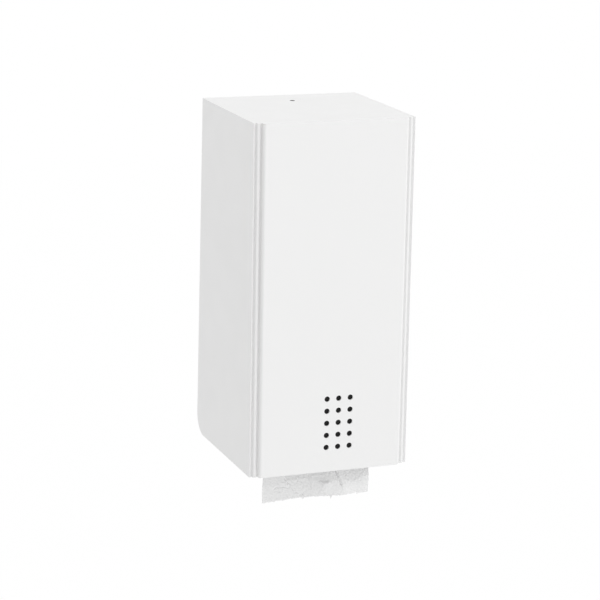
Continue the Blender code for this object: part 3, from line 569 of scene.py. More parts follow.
@dataclass(frozen=True)
class PowderCoat(Finish):
    """Baked powder coat with a faint orange peel, and painted shade on the wall of the lock hole."""

    # The first shade is the near-black painted shade on the lock hole's wall; the second is the coat's own colour.
    shades: Pair = (0.0344, 1.0)
    peel_per_metre: float = 620.0
    peel_height: float = 0.000016
    wave_per_metre: float = 45.0
    wave_height: float = 0.00006
    patches_per_metre: float = 9.0
    patch_shade: float = 0.988
    # Where the painted shade on the lock hole's wall lies: within this radius of the hole's axis and above this
    # height.
    bore_shade_edge: Pair = (0.00225, 0.00245)
    bore_shade_foot: Pair = (LAYOUT.cover_top - 0.0014, LAYOUT.cover_top - 0.0013)

    def dress(self, shader: Shader) -> None:
        """Lay fine peel over slow waves.

        The colour is painted dark, as the shade inside the lock hole, where the distance from the lock hole's axis
        is within the bore's edge and the height is over the bore's foot. Elsewhere it is in slow patches that
        hardly differ.

        Args:
            shader: The shader to dress.
        """
        place = shader.place()
        slow = shader.noise(place, self.wave_per_metre, 1.0)
        plan = shader.node("ShaderNodeVectorMath", {0: place, 1: (1.0, 1.0, 0.0)}, operation="MULTIPLY")
        to_axis = {0: plan.outputs[0], 1: (0.0, LAYOUT.latch_y, 0.0)}
        away = shader.node("ShaderNodeVectorMath", to_axis, operation="DISTANCE").outputs["Value"]
        height = shader.node("ShaderNodeSeparateXYZ", {0: place}).outputs[2]
        # Painted shade: the colour goes near black on the lock hole's wall, where the recess is in shade.
        outside = shader.spread(away, 0.0, 1.0, self.bore_shade_edge)
        under = shader.spread(height, 1.0, 0.0, self.bore_shade_foot)
        patches = shader.spread(shader.noise(place, self.patches_per_metre, 3.0), self.patch_shade, 1.0)
        coat_and_bore_shade = shader.sum("MULTIPLY", patches, shader.sum("MAXIMUM", outside, under))
        shader.tint(coat_and_bore_shade, self.colour, self.shades)
        self.roughen(shader, slow)
        shader.raise_by(slow, self.wave_height)
        shader.raise_by(shader.noise(place, self.peel_per_metre), self.peel_height)


@dataclass(frozen=True)
class RolledZinc(Finish):
    """Zinc-coated sheet: soft crystal patches over the mill's fine upright lines."""

    shades: Pair = (0.86, 1.04)
    wander: Pair = (0.06, 0.08)
    metallic: float = 1.0
    crystals_per_metre: float = 160.0
    line_scale: Triple = (2600.0, 2600.0, 30.0)
    line_height: float = 0.000006

    def dress(self, shader: Shader) -> None:
        """Let the patches change shade and roughness a little, and the lines stand out by a few microns.

        Args:
            shader: The shader to dress.
        """
        inputs = {"Vector": shader.place(), "Scale": self.crystals_per_metre}
        patches = shader.node("ShaderNodeTexVoronoi", inputs).outputs["Color"]
        shader.tint(patches, self.colour, self.shades)
        self.roughen(shader, patches, (0.0, 1.0))
        shader.raise_by(shader.noise(shader.place(self.line_scale), 1.0), self.line_height)


@dataclass(frozen=True)
class TurnedSteel(Finish):
    """Bright steel with the fine marks of the lathe or the drawing die."""

    shades: Pair = (0.84, 1.06)
    wander: Pair = (0.07, 0.1)
    metallic: float = 1.0
    wear_per_metre: float = 420.0
    mark_scale: Triple = (4200.0, 700.0, 700.0)
    mark_height: float = 0.000008

    def dress(self, shader: Shader) -> None:
        """Make the marks of noise drawn out round the piece, and the wear of a slow noise.

        Args:
            shader: The shader to dress.
        """
        wear = shader.noise(shader.place(), self.wear_per_metre, 3.0)
        shader.tint(wear, self.colour, self.shades)
        self.roughen(shader, wear)
        shader.raise_by(shader.noise(shader.place(self.mark_scale), 1.0, 3.0), self.mark_height)


@dataclass(frozen=True)
class MouldedPlastic(Finish):
    """Moulded plastic with a spark-eroded grain; a low gloss value makes it anti-glare."""

    wander_per_metre: float = 90.0
    grain_per_metre: float = 2100.0
    grain_height: float = 0.00001
    gloss: float = 0.5
    milkiness: float = 0.0
    milk_depth: float = 0.002
    clearness: float = 0.0

    def sockets(self) -> dict[str, object]:
        """Add the gloss, and the light that goes into or through the plastic."""
        return super().sockets() | {
            "Specular IOR Level": self.gloss,
            "Subsurface Weight": self.milkiness,
            "Subsurface Scale": self.milk_depth,
            "Transmission Weight": self.clearness,
        }

    def dress(self, shader: Shader) -> None:
        """Lay fine grain all over, with a slow wander of shade and roughness.

        Args:
            shader: The shader to dress.
        """
        place = shader.place()
        slow = shader.noise(place, self.wander_per_metre)
        shader.tint(slow, self.colour, self.shades)
        self.roughen(shader, slow)
        shader.raise_by(shader.noise(place, self.grain_per_metre), self.grain_height)


@dataclass(frozen=True)
class Rubber(Finish):
    """Matte black rubber, a little dusty."""

    shades: Pair = (1.0, 1.9)
    dust_per_metre: float = 260.0
    grain_per_metre: float = 1500.0
    grain_height: float = 0.00003

    def dress(self, shader: Shader) -> None:
        """Lay a coarse grain, and dust as a paler shade in slow patches.

        Args:
            shader: The shader to dress.
        """
        place = shader.place()
        shader.tint(shader.noise(place, self.dust_per_metre, 4.0), self.colour, self.shades)
        shader.raise_by(shader.noise(place, self.grain_per_metre, 3.0), self.grain_height)


@dataclass(frozen=True)
class Tissue(Finish):
    """Soft embossed tissue: rows of small dimples, wandering quilting lines and loose fibres."""

    shades: Pair = (0.965, 1.01)
    clouds_per_metre: float = 70.0
    dimple_pitch: float = 0.0024
    dimple_depth: float = 0.00016
    quilt_pitch: float = 0.0544
    quilt_depth: float = 0.0003
    fibre_scale: Triple = (900.0, 2600.0, 1.0)
    fibre_height: float = 0.00002

    def sockets(self) -> dict[str, object]:
        """Add the sheen of loose fibres."""
        return super().sockets() | {"Sheen Weight": 0.12, "Sheen Roughness": 0.6, "Specular IOR Level": 0.2}

    def dress(self, shader: Shader) -> None:
        """Lay the relief out on the unrolled sheet, in metres, so that it follows the paper round a roll.

        Args:
            shader: The shader to dress.
        """
        flat = shader.unrolled()
        cells = {"Vector": flat, "Scale": 1.0 / self.dimple_pitch, "Randomness": 0.18}
        dimples = shader.node("ShaderNodeTexVoronoi", cells, feature="SMOOTH_F1").outputs["Distance"]
        rings = {"Vector": flat, "Scale": 1.0 / self.quilt_pitch, "Distortion": 5.5, "Detail": 1.5}
        quilt = shader.node("ShaderNodeTexWave", rings, wave_type="RINGS").outputs[1]
        shader.tint(shader.noise(flat, self.clouds_per_metre, 3.0), self.colour, self.shades)
        shader.raise_by(shader.sum("POWER", quilt, 6.0), self.quilt_depth)
        shader.raise_by(dimples, self.dimple_depth)
        shader.raise_by(shader.noise(shader.unrolled(self.fibre_scale), 1.0, 4.0), self.fibre_height)


@dataclass(frozen=True)
class CoreBoard(Finish):
    """Grey-brown board wound in a spiral, with an open seam once a turn."""

    shades: Pair = (0.62, 1.25)
    seam_slope: float = 1.35
    seam_pitch: float = 0.135
    seam_share: float = 0.006
    seam_depth: float = 0.0002
    fibre_scale: Triple = (500.0, 1900.0, 1.0)
    fibre_turn: float = 0.8
    fibre_height: float = 0.00003

    def dress(self, shader: Shader) -> None:
        """Open the seam where the distance round plus the slope times the distance along has gone one pitch.

        Args:
            shader: The shader to dress.
        """
        parts = shader.node("ShaderNodeSeparateXYZ", {0: shader.unrolled()}).outputs
        slanted = shader.sum("ADD", parts[0], shader.sum("MULTIPLY", parts[1], self.seam_slope))
        turns = shader.sum("FRACT", shader.sum("DIVIDE", slanted, self.seam_pitch), 0.0)
        seam = shader.spread(turns, 0.0, 1.0, (0.0, self.seam_share))
        fibres = shader.noise(shader.unrolled(self.fibre_scale, (0.0, 0.0, self.fibre_turn)), 1.0, 5.0)
        shader.tint(shader.sum("MULTIPLY", fibres, seam), self.colour, self.shades)
        shader.raise_by(seam, self.seam_depth)
        shader.raise_by(fibres, self.fibre_height)


@dataclass(frozen=True)
class Palette:
    """Every finish of the dispenser."""

    coat: Finish = PowderCoat("white_paint", (0.872, 0.872, 0.87), 0.40)
    zinc: Finish = RolledZinc("zinc_steel", (0.62, 0.63, 0.65), 0.38)
    steel: Finish = TurnedSteel("bright_steel", (0.58, 0.59, 0.61), 0.28)
    nylon: Finish = MouldedPlastic("nylon", (0.80, 0.79, 0.74), 0.45, milkiness=0.2)
    grey: Finish = MouldedPlastic("grey_plastic", (0.45, 0.46, 0.48), 0.42)
    # Near-black smoked strip behind the sight holes: a dark sheet put there as painted shade for the inside of the
    # cover.
    shade_strip: Finish = MouldedPlastic(
        "smoked_plastic", (0.012, 0.012, 0.012), 0.5, gloss=0.08, clearness=0.2, grain_height=0.000004
    )
    rubber: Finish = Rubber("rubber", (0.03, 0.03, 0.03), 0.78)
    tissue: Finish = Tissue("tissue", (0.885, 0.885, 0.885), 0.92)
    board: Finish = CoreBoard("board", (0.48, 0.38, 0.27), 0.9)


PALETTE = Palette()


class Workshop:
    """Puts finished pieces into the scene, on their bodies and in place of their CAD nodes."""

    def __init__(self, frame: dict) -> None:
        """Keep the loaded frame, and build the material of every finish."""
        self.frame = frame
        self.materials = {finish.slot: finish.material() for finish in vars(PALETTE).values()}
        self.count = 0

    def dress(self, piece: Object, finish: Finish) -> None:
        """Give a piece its only material."""
        piece.data.materials.clear()
        piece.data.materials.append(self.materials[finish.slot])

    def place(self, mesh: Mesh, finish: Finish, body: str, node: str) -> Object:
        """Add a piece.

        Args:
            mesh: The piece's mesh, whose name the piece takes.
            finish: The piece's finish.
            body: The CAD body that it moves with.
            node: The CAD node that it stands for.

        Returns:
            The piece.
        """
        piece = stand(mesh.name, mesh)
        self.dress(piece, finish)
        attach(piece, body)
        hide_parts(node)
        self.count += 1
        LOG.info("%s rides on %s and stands for %s", piece.name, body, node)
        return piece

    def refined(self, node: str, finish: Finish, body: str, edge: float) -> None:
        """Stand a merged copy of a CAD node, whose shape is right, in its place, with its edges broken.

        Args:
            node: The node.
            finish: The piece's finish.
            body: The CAD body that it moves with.
            edge: Width of the edges' rounding.
        """
        mesh = self.frame["nodes"][node].data.copy()
        mesh.name = node + "_piece"
        flat = math.radians(1.0)
        with merged(mesh) as shape:
            bmesh.ops.dissolve_limit(shape, angle_limit=flat, verts=shape.verts, edges=shape.edges)
        piece = self.place(mesh, finish, body, node)
        break_edges(piece, edge)
        self.dress(piece, finish)


@dataclass
class Assembly:
    """A sub-assembly of the dispenser."""

    workshop: Workshop

    def build(self) -> None:
        """Add the sub-assembly's pieces."""
        raise NotImplementedError


@dataclass
class Cover(Assembly):
    """The folded cover, with its rolled corners, sight holes and lock hole, and a near-black strip behind the holes
    as painted shade.
    """

    reach: float = 0.0125
    top_edge: float = 0.0003
    rear_corner: float = 0.018
    paint_edge: float = 0.00028
    strip_edge: float = 0.0002
    hole_radius: float = 0.00245
    hole_pitch: Pair = (0.01065, 0.0109)
    hole_grid: tuple[int, int] = (3, 5)
    grid_centre: Pair = (0.0066, 0.0439)
    lock_radius: float = 0.00215
    cutter_reach: float = 0.004
    cutter_steps: int = 56
    corner_steps: int = 230
    rear_steps: int = 32
    wing_steps: int = 13
    edge_steps: int = 4
    levels: int = 10

    def corner(self, inside: bool) -> Array:
        """Work out the rolled joint's profile: distances inwards from the side and back from the front.

        Outside, it goes over the side's rim, the groove behind it, the bead, the second groove and the front's
        rolled rim. Inside, it passes behind the grooves. Its points are spaced evenly along it.

        Args:
            inside: Whether this is the inner side.

        Returns:
            As many points as the corner has steps, and one more.
        """
        sheet, reach = LAYOUT.cover_sheet, self.reach
        outer = (
            (0, reach, 0), (0, 0.00392, 0.0004), (0.00246, 0.00636, 0.0005), (0.00321, 0.00335, 0.0006),
            (0.00486, 0.00306, 0.0006), (0.00728, 0.00514, 0.0005), (0.00755, 0, 0.0023), (reach, 0, 0),
        )
        inner = (
            (sheet, reach, 0), (sheet, 0.0076, 0.0012), (0.0080, 0.0076, 0.0020), (0.0099, sheet, 0.0015),
            (reach, sheet, 0),
        )
        line = filleted(inner if inside else outer, steps=12)
        even = np.linspace(0.0, travelled(line)[-1], self.corner_steps + 1)
        return np.stack([np.interp(even, travelled(line), part) for part in line.T], axis=1)

    def columns(self, inside: bool) -> tuple[Array, Array]:
        """Work out the upright lines of one side of the sheet, from rear left to rear right.

        The rear corner's lines end on a circle round the hinge, the wing's lines follow the side, and the
        corner's lines follow its profile. The right half mirrors the left.

        Args:
            inside: Whether this is the inner side.

        Returns:
            The foot's height, and the place in plan, for each line.
        """
        rear = np.linspace(0.0, math.pi / 2, self.rear_steps + 1)
        wing = np.linspace(LAYOUT.hinge_y, LAYOUT.cover_front + self.reach, self.wing_steps + 1)[1:-1]
        corner = self.corner(inside)
        level = np.full(len(wing) + len(corner), LAYOUT.cover_bottom)
        foot = np.append(LAYOUT.hinge_z - self.rear_corner * np.sin(rear), level)
        flat = np.full(len(rear) + len(wing), LAYOUT.cover_sheet if inside else 0.0)
        x = np.append(flat, corner[:, 0]) - LAYOUT.half_width
        round_hinge = LAYOUT.hinge_y + self.rear_corner * np.cos(rear)
        y = np.concatenate([round_hinge, wing, LAYOUT.cover_front + corner[:, 1]])
        plan = np.concatenate([np.stack([x, y], axis=1), np.stack([-x, y], axis=1)[::-1]])
        return np.append(foot, foot[::-1]), plan

    def surface(self, inside: bool) -> Array:
        """Work out one side of the sheet, column by column from foot to top.

        The outer side ends in a quarter circle that turns it over to the top: there each point moves inwards,
        square to the plan's outline, by the edge's radius less its cosine share. The inner side ends square.

        Args:
            inside: Whether this is the inner side.

        Returns:
            The points, as columns by rows by three.
        """
        foot, plan = self.columns(inside)
        top = LAYOUT.cover_top - (LAYOUT.cover_sheet if inside else self.top_edge)
        bend = np.linspace(0.0, math.pi / 2, 1 if inside else self.edge_steps + 1)[1:]
        wall = foot[:, None] + (top - foot[:, None]) * np.linspace(0.0, 1.0, self.levels)
        height = np.append(wall, np.tile(top + self.top_edge * np.sin(bend), (len(foot), 1)), axis=1)
        inset = np.append(np.zeros(self.levels), self.top_edge * (1 - np.cos(bend)))
        along = np.gradient(plan, axis=0)
        along /= np.linalg.norm(along, axis=1, keepdims=True)
        x = plan[:, :1] - along[:, 1:] * inset
        y = plan[:, 1:] + along[:, :1] * inset
        return np.stack([LAYOUT.flared(x, y, height), y, height], axis=-1)

    def shell(self) -> Mesh:
        """Join the two sides of the sheet round the bottom and the rear, and close the top.

        Returns:
            The closed mesh.
        """
        outer, inner = self.surface(False), self.surface(True)
        out = np.arange(outer.size // 3).reshape(outer.shape[:2])
        back = np.arange(inner.size // 3).reshape(inner.shape[:2]) + out.size
        lifted = np.arange(self.rear_steps)
        lifted = np.append(lifted, len(out) - 2 - lifted)
        rear_foot = [out[lifted + 1, 0], out[lifted, 0], back[lifted, 0], back[lifted + 1, 0]]
        flat = slice(self.rear_steps, len(out) - self.rear_steps)
        bottom = np.append(out[flat, 0][::-1], back[flat, 0])
        rear = np.concatenate([out[0], out[-1, ::-1], back[-1], back[0, ::-1]])
        faces = [
            grid_faces(*out.shape), grid_faces(*back.shape)[:, ::-1] + out.size, np.stack(rear_foot, axis=1),
            bottom[None], out[None, :, -1], back[None, ::-1, -1], rear[None],
        ]
        points = np.concatenate([outer.reshape(-1, 3), inner.reshape(-1, 3)])
        return seal(mesh_from("front_cover_shell", points, faces))

    def drill(self, name: str, centres: Array, radius: float, direction: Direction) -> Object:
        """Make the cutter for a set of equal holes, as one mesh of straight cylinders.

        Args:
            name: Name of the cutter.
            centres: Middle of each hole.
            radius: Radius of the holes.
            direction: The way their axes point.

        Returns:
            The cutter.
        """
        angle = np.linspace(0.0, TURN, self.cutter_steps, endpoint=False)
        ring = np.stack([radius * np.cos(angle), radius * np.sin(angle), 0 * angle - self.cutter_reach], axis=1)
        points = centres[:, None] + np.concatenate([ring, ring * (1, 1, -1)]) @ direction.rows()
        number = np.arange(points.size // 3).reshape(len(centres), 2, -1)
        after = np.roll(number, -1, axis=2)
        sides = np.stack([number[:, 0], after[:, 0], after[:, 1], number[:, 1]], axis=-1)
        ends = np.stack([number[:, 0, ::-1], number[:, 1]], axis=1)
        faces = [sides.reshape(-1, 4), ends.reshape(-1, self.cutter_steps)]
        return stand(name, seal(mesh_from(name, points, faces)))

    def cutters(self) -> list[Object]:
        """Make the cutters of the sight holes, which are a grid, and of the lock hole.

        Returns:
            Both cutters.
        """
        x, rise = (
            centre + (np.arange(count) - (count - 1) / 2) * pitch
            for centre, count, pitch in zip(self.grid_centre, self.hole_grid, self.hole_pitch)
        )
        grid_x, grid_z = np.meshgrid(x, LAYOUT.cover_bottom + rise)
        front = np.stack([grid_x, 0 * grid_x + LAYOUT.cover_front, grid_z], axis=-1).reshape(-1, 3)
        lock = np.array([[0.0, LAYOUT.latch_y, LAYOUT.cover_top]])
        return [
            self.drill("sight_hole_cutter", front, self.hole_radius, Direction.FRONT),
            self.drill("lock_hole_cutter", lock, self.lock_radius, Direction.UP),
        ]

    def build(self) -> None:
        """Add the drilled shell and the near-black strip, which is painted shade behind the sight holes."""
        piece = self.workshop.place(self.shell(), PALETTE.coat, "cover", "front_cover")
        cutters = self.cutters()
        for cutter in cutters:
            modify(piece, "BOOLEAN", object=cutter, solver="EXACT")
        break_edges(piece, self.paint_edge, segments=3)
        self.workshop.dress(piece, PALETTE.coat)
        for cutter in cutters:
            bpy.data.objects.remove(cutter)
        # The dark strip stands in for the shade that fills the cover behind the sight holes.
        self.workshop.refined("sight_strip", PALETTE.shade_strip, "cover", self.strip_edge)


@dataclass
class CoverHinge(Assembly):
    """Stud, clip and bush on each side of the cover's hinge."""

    shaft: float = 0.003
    shoulder: float = 0.00475
    base: float = 0.007
    base_thickness: float = 0.0015
    bush_wall: float = 0.0014
    bush_lip: float = 0.0022
    bush_flange: float = 0.001
    bush_tail: float = 0.0008
    clip_radius: float = 0.005
    clip_thickness: float = 0.0008
    clip_float: float = 0.0006
    groove_depth: float = 0.0006
    end_length: float = 0.0015
    small: float = 0.00025
    tight: float = 0.0001

    def build(self) -> None:
        """Add the pieces of both sides, each turned from its filleted profile."""
        gap, small, tight, shaft, shoulder = LAYOUT.gap, self.small, self.tight, self.shaft, self.shoulder
        wing = LAYOUT.half_width - LAYOUT.cover_sheet
        seat = float(LAYOUT.flared(wing, LAYOUT.hinge_y - self.base, LAYOUT.hinge_z + self.base)) - gap
        root = seat - self.base_thickness
        flange_low = LAYOUT.cheek_outer + gap
        flange_high = flange_low + self.bush_flange
        bush_low = LAYOUT.cheek_inner - self.bush_tail
        clip_high = bush_low - self.clip_float
        clip_low = clip_high - self.clip_thickness
        groove = shaft - self.groove_depth
        end = clip_low - gap - self.end_length
        stud = filleted([
            (seat, 0, 0), (seat, self.base, small), (root, self.base, small), (root, shoulder, 0.0006),
            (flange_high + gap, shoulder, small), (flange_high + gap, shaft, tight),
            (clip_high + gap, shaft, tight), (clip_high + gap, groove, 0), (clip_low - gap, groove, 0),
            (clip_low - gap, shaft, tight), (end, shaft, 0.0006), (end, 0, 0),
        ])
        bore = shaft + gap
        collar = bore + self.bush_wall
        lip = collar + self.bush_lip
        bush = filleted([
            (flange_high, lip, small), (flange_low, lip, small), (flange_low, collar, tight),
            (bush_low, collar, small), (bush_low, bore, small), (flange_high, bore, small),
        ])
        clip = filleted([
            (clip_high, self.clip_radius, small), (clip_low, self.clip_radius, small),
            (clip_low, groove + gap, tight), (clip_high, groove + gap, tight),
        ])
        rows = (
            ("stud", stud, False, PALETTE.steel, "cover"),
            ("clip", clip, True, PALETTE.steel, "cover"),
            ("bush", bush, True, PALETTE.nylon, "root"),
        )
        for side, direction in SIDES:
            place = Seat((0.0, LAYOUT.hinge_y, LAYOUT.hinge_z), direction)
            for part, profile, closed, finish, body in rows:
                node = f"hinge_{part}_{side}"
                self.workshop.place(turned(node + "_piece", profile, place, closed=closed), finish, body, node)


@dataclass
class Bracket(Assembly):
    """The folded wall bracket, whose CAD shape is right and only gets its edges broken."""

    edge: float = 0.00035

    def build(self) -> None:
        """Add the bracket."""
        self.workshop.refined("wall_bracket", PALETTE.zinc, "root", self.edge)


@dataclass(frozen=True)
class Spring:
    """A compression spring along its seat's axis, with closed end turns."""

    radius: float
    wire: float
    low: float
    high: float
    turns: float
    steps_per_turn: int = 28
    end_turns: float = 0.7
    opening: float = 0.6
    closed_climb: float = 1.08

    def mesh(self, name: str, seat: Seat) -> Mesh:
        """Work out the spring.

        Its middle line goes round a circle as it climbs. It climbs by just over the wire for a turn at each
        end, and by an even amount between, chosen so that the whole climb is the spring's length.

        Args:
            name: Name of the mesh.
            seat: Place and direction of the axis.

        Returns:
            The closed mesh.
        """
        turn = np.linspace(0.0, self.turns, int(self.turns * self.steps_per_turn) + 1)
        from_ends = (turn, self.turns - turn)
        opened = math.prod(smooth_step((count - self.end_turns) / self.opening) for count in from_ends)
        closed = self.closed_climb * self.wire
        spare = self.high - self.low - closed * self.turns
        slope = closed + opened * spare / (self.turns * opened.mean())
        climb = np.append(0.0, np.cumsum((slope[1:] + slope[:-1]) / 2 * np.diff(turn)))
        climb = self.low + climb * (self.high - self.low) / climb[-1]
        outward = np.stack([np.cos(TURN * turn), np.sin(TURN * turn), 0 * turn], axis=1)
        path = self.radius * outward + climb[:, None] * (0.0, 0.0, 1.0)
        return tube(name, seat.world(path), outward @ seat.direction.rows(), self.wire / 2)


@dataclass
class Latch(Assembly):
    """Pin, spring, guide bracket, and the weld studs and nuts that hold the bracket."""

    pin: float = 0.0025
    tip: float = 0.00175
    collar: float = 0.0045
    collar_thickness: float = 0.0015
    lift: float = 0.0016
    tip_space: float = 0.0007
    tail: float = 0.004
    neck: float = 0.002
    taper: float = 0.0025
    wire: float = 0.0007
    turns: float = 8.0
    travel: float = 0.004
    stud: float = 0.002
    stud_length: float = 0.0085
    stud_flange: float = 0.0024
    stud_flange_thickness: float = 0.0007
    stud_spacing: float = 0.0095
    stud_steps: int = 40
    thread_pitch: float = 0.0007
    thread_depth: float = 0.00022
    thread_start: float = 0.0004
    thread_fade: float = 0.0006
    end_share: float = 0.8
    bracket_edge: float = 0.0003
    nut_edge: float = 0.0004

    def threaded_stud(self, name: str, seat: Seat) -> Mesh:
        """Work out a weld stud with its thread.

        The thread's radius is the shank's less half the depth times one plus the cosine of a full turn for
        each pitch along, less the angle round. It fades out towards the flange and the end.

        Args:
            name: Name of the mesh.
            seat: Place and direction of the axis.

        Returns:
            The closed mesh.
        """
        along = np.arange(self.stud_flange_thickness, self.stud_length, self.thread_pitch / 9)[:, None]
        angle = np.linspace(0.0, TURN, self.stud_steps + 1)
        started = along - self.stud_flange_thickness - self.thread_start
        fade = smooth_step(started / self.thread_fade)
        runout = smooth_step((self.stud_length - along) / self.thread_fade)
        ridge = self.thread_depth / 2 * (1 + np.cos(TURN * along / self.thread_pitch - angle)) * fade
        shank = (self.stud - ridge) * (self.end_share + (1 - self.end_share) * runout)
        flange = [(0.0, 0.0), (0.0, self.stud_flange), (self.stud_flange_thickness, self.stud_flange)]
        line = np.append(along, 0 * along + self.stud, axis=1)
        profile = np.concatenate([flange, line, [(line[-1, 0], 0.0)]])
        cut = np.pad(self.stud - shank, ((len(flange), 1), (0, 0)))
        return turned(name, profile, seat, self.stud_steps, cut=cut, degrees=60.0)

    def build(self) -> None:
        """Add all the latch's pieces."""
        place, gap, sheet = self.workshop.place, LAYOUT.gap, LAYOUT.bracket_sheet
        top, bottom = LAYOUT.latch_bracket_top, LAYOUT.latch_bracket_bottom
        tip_top = LAYOUT.cover_top - LAYOUT.cover_sheet - self.tip_space
        collar_top = top - sheet - self.lift - gap
        collar_low = collar_top - self.collar_thickness
        end = bottom - self.tail
        pin = filleted([
            (tip_top, 0, 0), (tip_top, self.tip, 0.0004), (top + self.neck + self.taper, self.tip, 0.0005),
            (top + self.neck, self.pin, 0.0004), (collar_top, self.pin, 0.0002),
            (collar_top, self.collar, 0.0003), (collar_low, self.collar, 0.0003),
            (collar_low, self.pin, 0.0002), (end, self.pin, 0.0005), (end, 0, 0),
        ])
        seat = Seat((0.0, LAYOUT.latch_y, 0.0), Direction.UP)
        place(turned("latch_pin_piece", pin, seat), PALETTE.steel, "latch", "latch_pin")
        low = bottom + sheet + gap + self.wire / 2
        high = collar_low - gap - self.wire / 2
        coil = Spring(self.pin + 2 * gap + self.wire / 2, self.wire, low, high, self.turns)
        spring = place(coil.mesh("latch_spring_piece", seat), PALETTE.steel, "root", "latch_spring")
        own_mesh(spring)
        self.workshop.refined("latch_bracket", PALETTE.zinc, "root", self.bracket_edge)
        for side, direction in SIDES:
            x = self.stud_spacing * direction.value[2][0]
            stud_seat = Seat((x, -sheet - gap, (top + bottom) / 2), Direction.FRONT)
            stud = self.threaded_stud(f"latch_stud_{side}_piece", stud_seat)
            place(stud, PALETTE.steel, "root", f"latch_stud_{side}")
            self.workshop.refined(f"latch_nut_{side}", PALETTE.steel, "root", self.nut_edge)


@dataclass
class Buffers(Assembly):
    """Rubber buffer pushed into each cheek."""

    radius: float = 0.005
    stem: float = 0.002
    bulb: float = 0.0032
    bulb_length: float = 0.0016
    cheek_to_cover: float = 0.0048
    play: float = 0.001
    rounding: float = 0.0014
    place: Pair = (-0.058, 0.09985)

    def build(self) -> None:
        """Add both buffers, each turned from its filleted profile."""
        top = LAYOUT.cheek_outer + self.cheek_to_cover - self.play
        face = LAYOUT.cheek_outer + LAYOUT.gap
        bulb_top = LAYOUT.cheek_inner - LAYOUT.gap
        end = bulb_top - self.bulb_length
        profile = filleted([
            (top, 0, 0), (top, self.radius, self.rounding), (face, self.radius, 0.0003),
            (face, self.stem, 0.0001), (bulb_top, self.stem, 0.0001), (bulb_top, self.bulb, 0.0003),
            (end, self.stem, 0.0005), (end, 0, 0),
        ])
        for side, direction in SIDES:
            mesh = turned(f"cover_buffer_{side}_piece", profile, Seat((0.0, *self.place), direction))
            self.workshop.place(mesh, PALETTE.rubber, "root", f"cover_buffer_{side}")


@dataclass
class Spindle(Assembly):
    """One sprung spindle: sleeve, plunger and spring, and the two bushes that carry it."""

    name: str
    height: float
    plunger_radius: float = 0.010
    plunger_wall: float = 0.0018
    sleeve_radius: float = 0.012
    sleeve_bore: float = 0.0103
    sleeve_mouth: float = 0.020
    engagement: float = 0.022
    shoulder: float = 0.063
    end_wall: float = 0.0025
    nub: float = 0.004
    nub_end: float = 0.069
    wire: float = 0.0012
    turns: float = 17.0
    spring_play: float = 0.001
    travel: float = 0.008
    bush_wall: float = 0.002
    bush_lip: float = 0.003
    bush_face: float = 0.0635
    bush_end: float = 0.068
    grip_rings: int = 3
    grip_pitch: float = 0.0022
    grip_depth: float = 0.0004

    def barrel(self, radius: float, bore: float, mouth: float, rings: Sequence[Triple] = ()) -> Array:
        """Work out the profile of the sleeve or the plunger: a tube, closed at the nub that sits in its bush.

        Args:
            radius: Outer radius.
            bore: Inner radius.
            mouth: Place of the open end along the axis.
            rings: Corners of the grip rings.

        Returns:
            The filleted profile.
        """
        shoulder, floor = self.shoulder, self.shoulder - self.end_wall
        return filleted([
            (self.nub_end, 0, 0), (self.nub_end, self.nub, 0.0012), (shoulder, self.nub, 0.0004),
            (shoulder, radius, 0.0012), *rings, (mouth, radius, 0.0005), (mouth, bore, 0.0004),
            (floor, bore, 0.0006), (floor, 0, 0),
        ])

    def grips(self) -> list[Triple]:
        """List the corners of the sleeve's rounded grip rings, of which the last is near its mouth.

        Returns:
            The corners.
        """
        bottom = self.sleeve_radius - self.grip_depth
        ring = ((0.25, self.sleeve_radius, 0.0003), (0, bottom, 0.0004), (-0.25, self.sleeve_radius, 0.0003))
        return [
            ((count + shift) * self.grip_pitch - self.sleeve_mouth, radius, fillet)
            for count in range(self.grip_rings, 0, -1)
            for shift, radius, fillet in ring
        ]

    def build(self) -> None:
        """Add all the spindle's pieces."""
        place, name, gap = self.workshop.place, self.name, LAYOUT.gap
        seats = {side: Seat((0.0, LAYOUT.axis_y, self.height), direction) for side, direction in SIDES}
        outside = self.barrel(self.sleeve_radius, self.sleeve_bore, -self.sleeve_mouth, self.grips())
        sleeve = turned(f"{name}_sleeve_piece", outside, seats["left"])
        place(sleeve, PALETTE.grey, f"{name}_spindle", f"{name}_spindle_sleeve")
        bore = self.plunger_radius - self.plunger_wall
        within = self.barrel(self.plunger_radius, bore, self.sleeve_mouth - self.engagement)
        plunger = turned(f"{name}_plunger_piece", within, seats["right"])
        place(plunger, PALETTE.grey, f"{name}_plunger", f"{name}_spindle_plunger")
        reach = self.shoulder - self.end_wall - gap - self.wire / 2
        coil = Spring(bore - self.spring_play - self.wire / 2, self.wire, -reach, reach, self.turns)
        mesh = coil.mesh(f"{name}_spring_piece", seats["right"])
        spring = place(mesh, PALETTE.steel, f"{name}_spindle", f"{name}_spindle_spring")
        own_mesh(spring)
        hole = self.nub + gap
        collar = hole + self.bush_wall
        lip = collar + self.bush_lip
        flange = LAYOUT.cheek_inner - gap
        bush = filleted([
            (self.bush_end, collar, 0.0004), (flange, collar, 0.0001), (flange, lip, 0.0003),
            (self.bush_face, lip, 0.0004), (self.bush_face, hole, 0.0004), (self.bush_end, hole, 0.0004),
        ])
        for side, seat in seats.items():
            mesh = turned(f"{name}_bush_{side}_piece", bush, seat, closed=True)
            place(mesh, PALETTE.nylon, "root", f"{name}_bush_{side}")


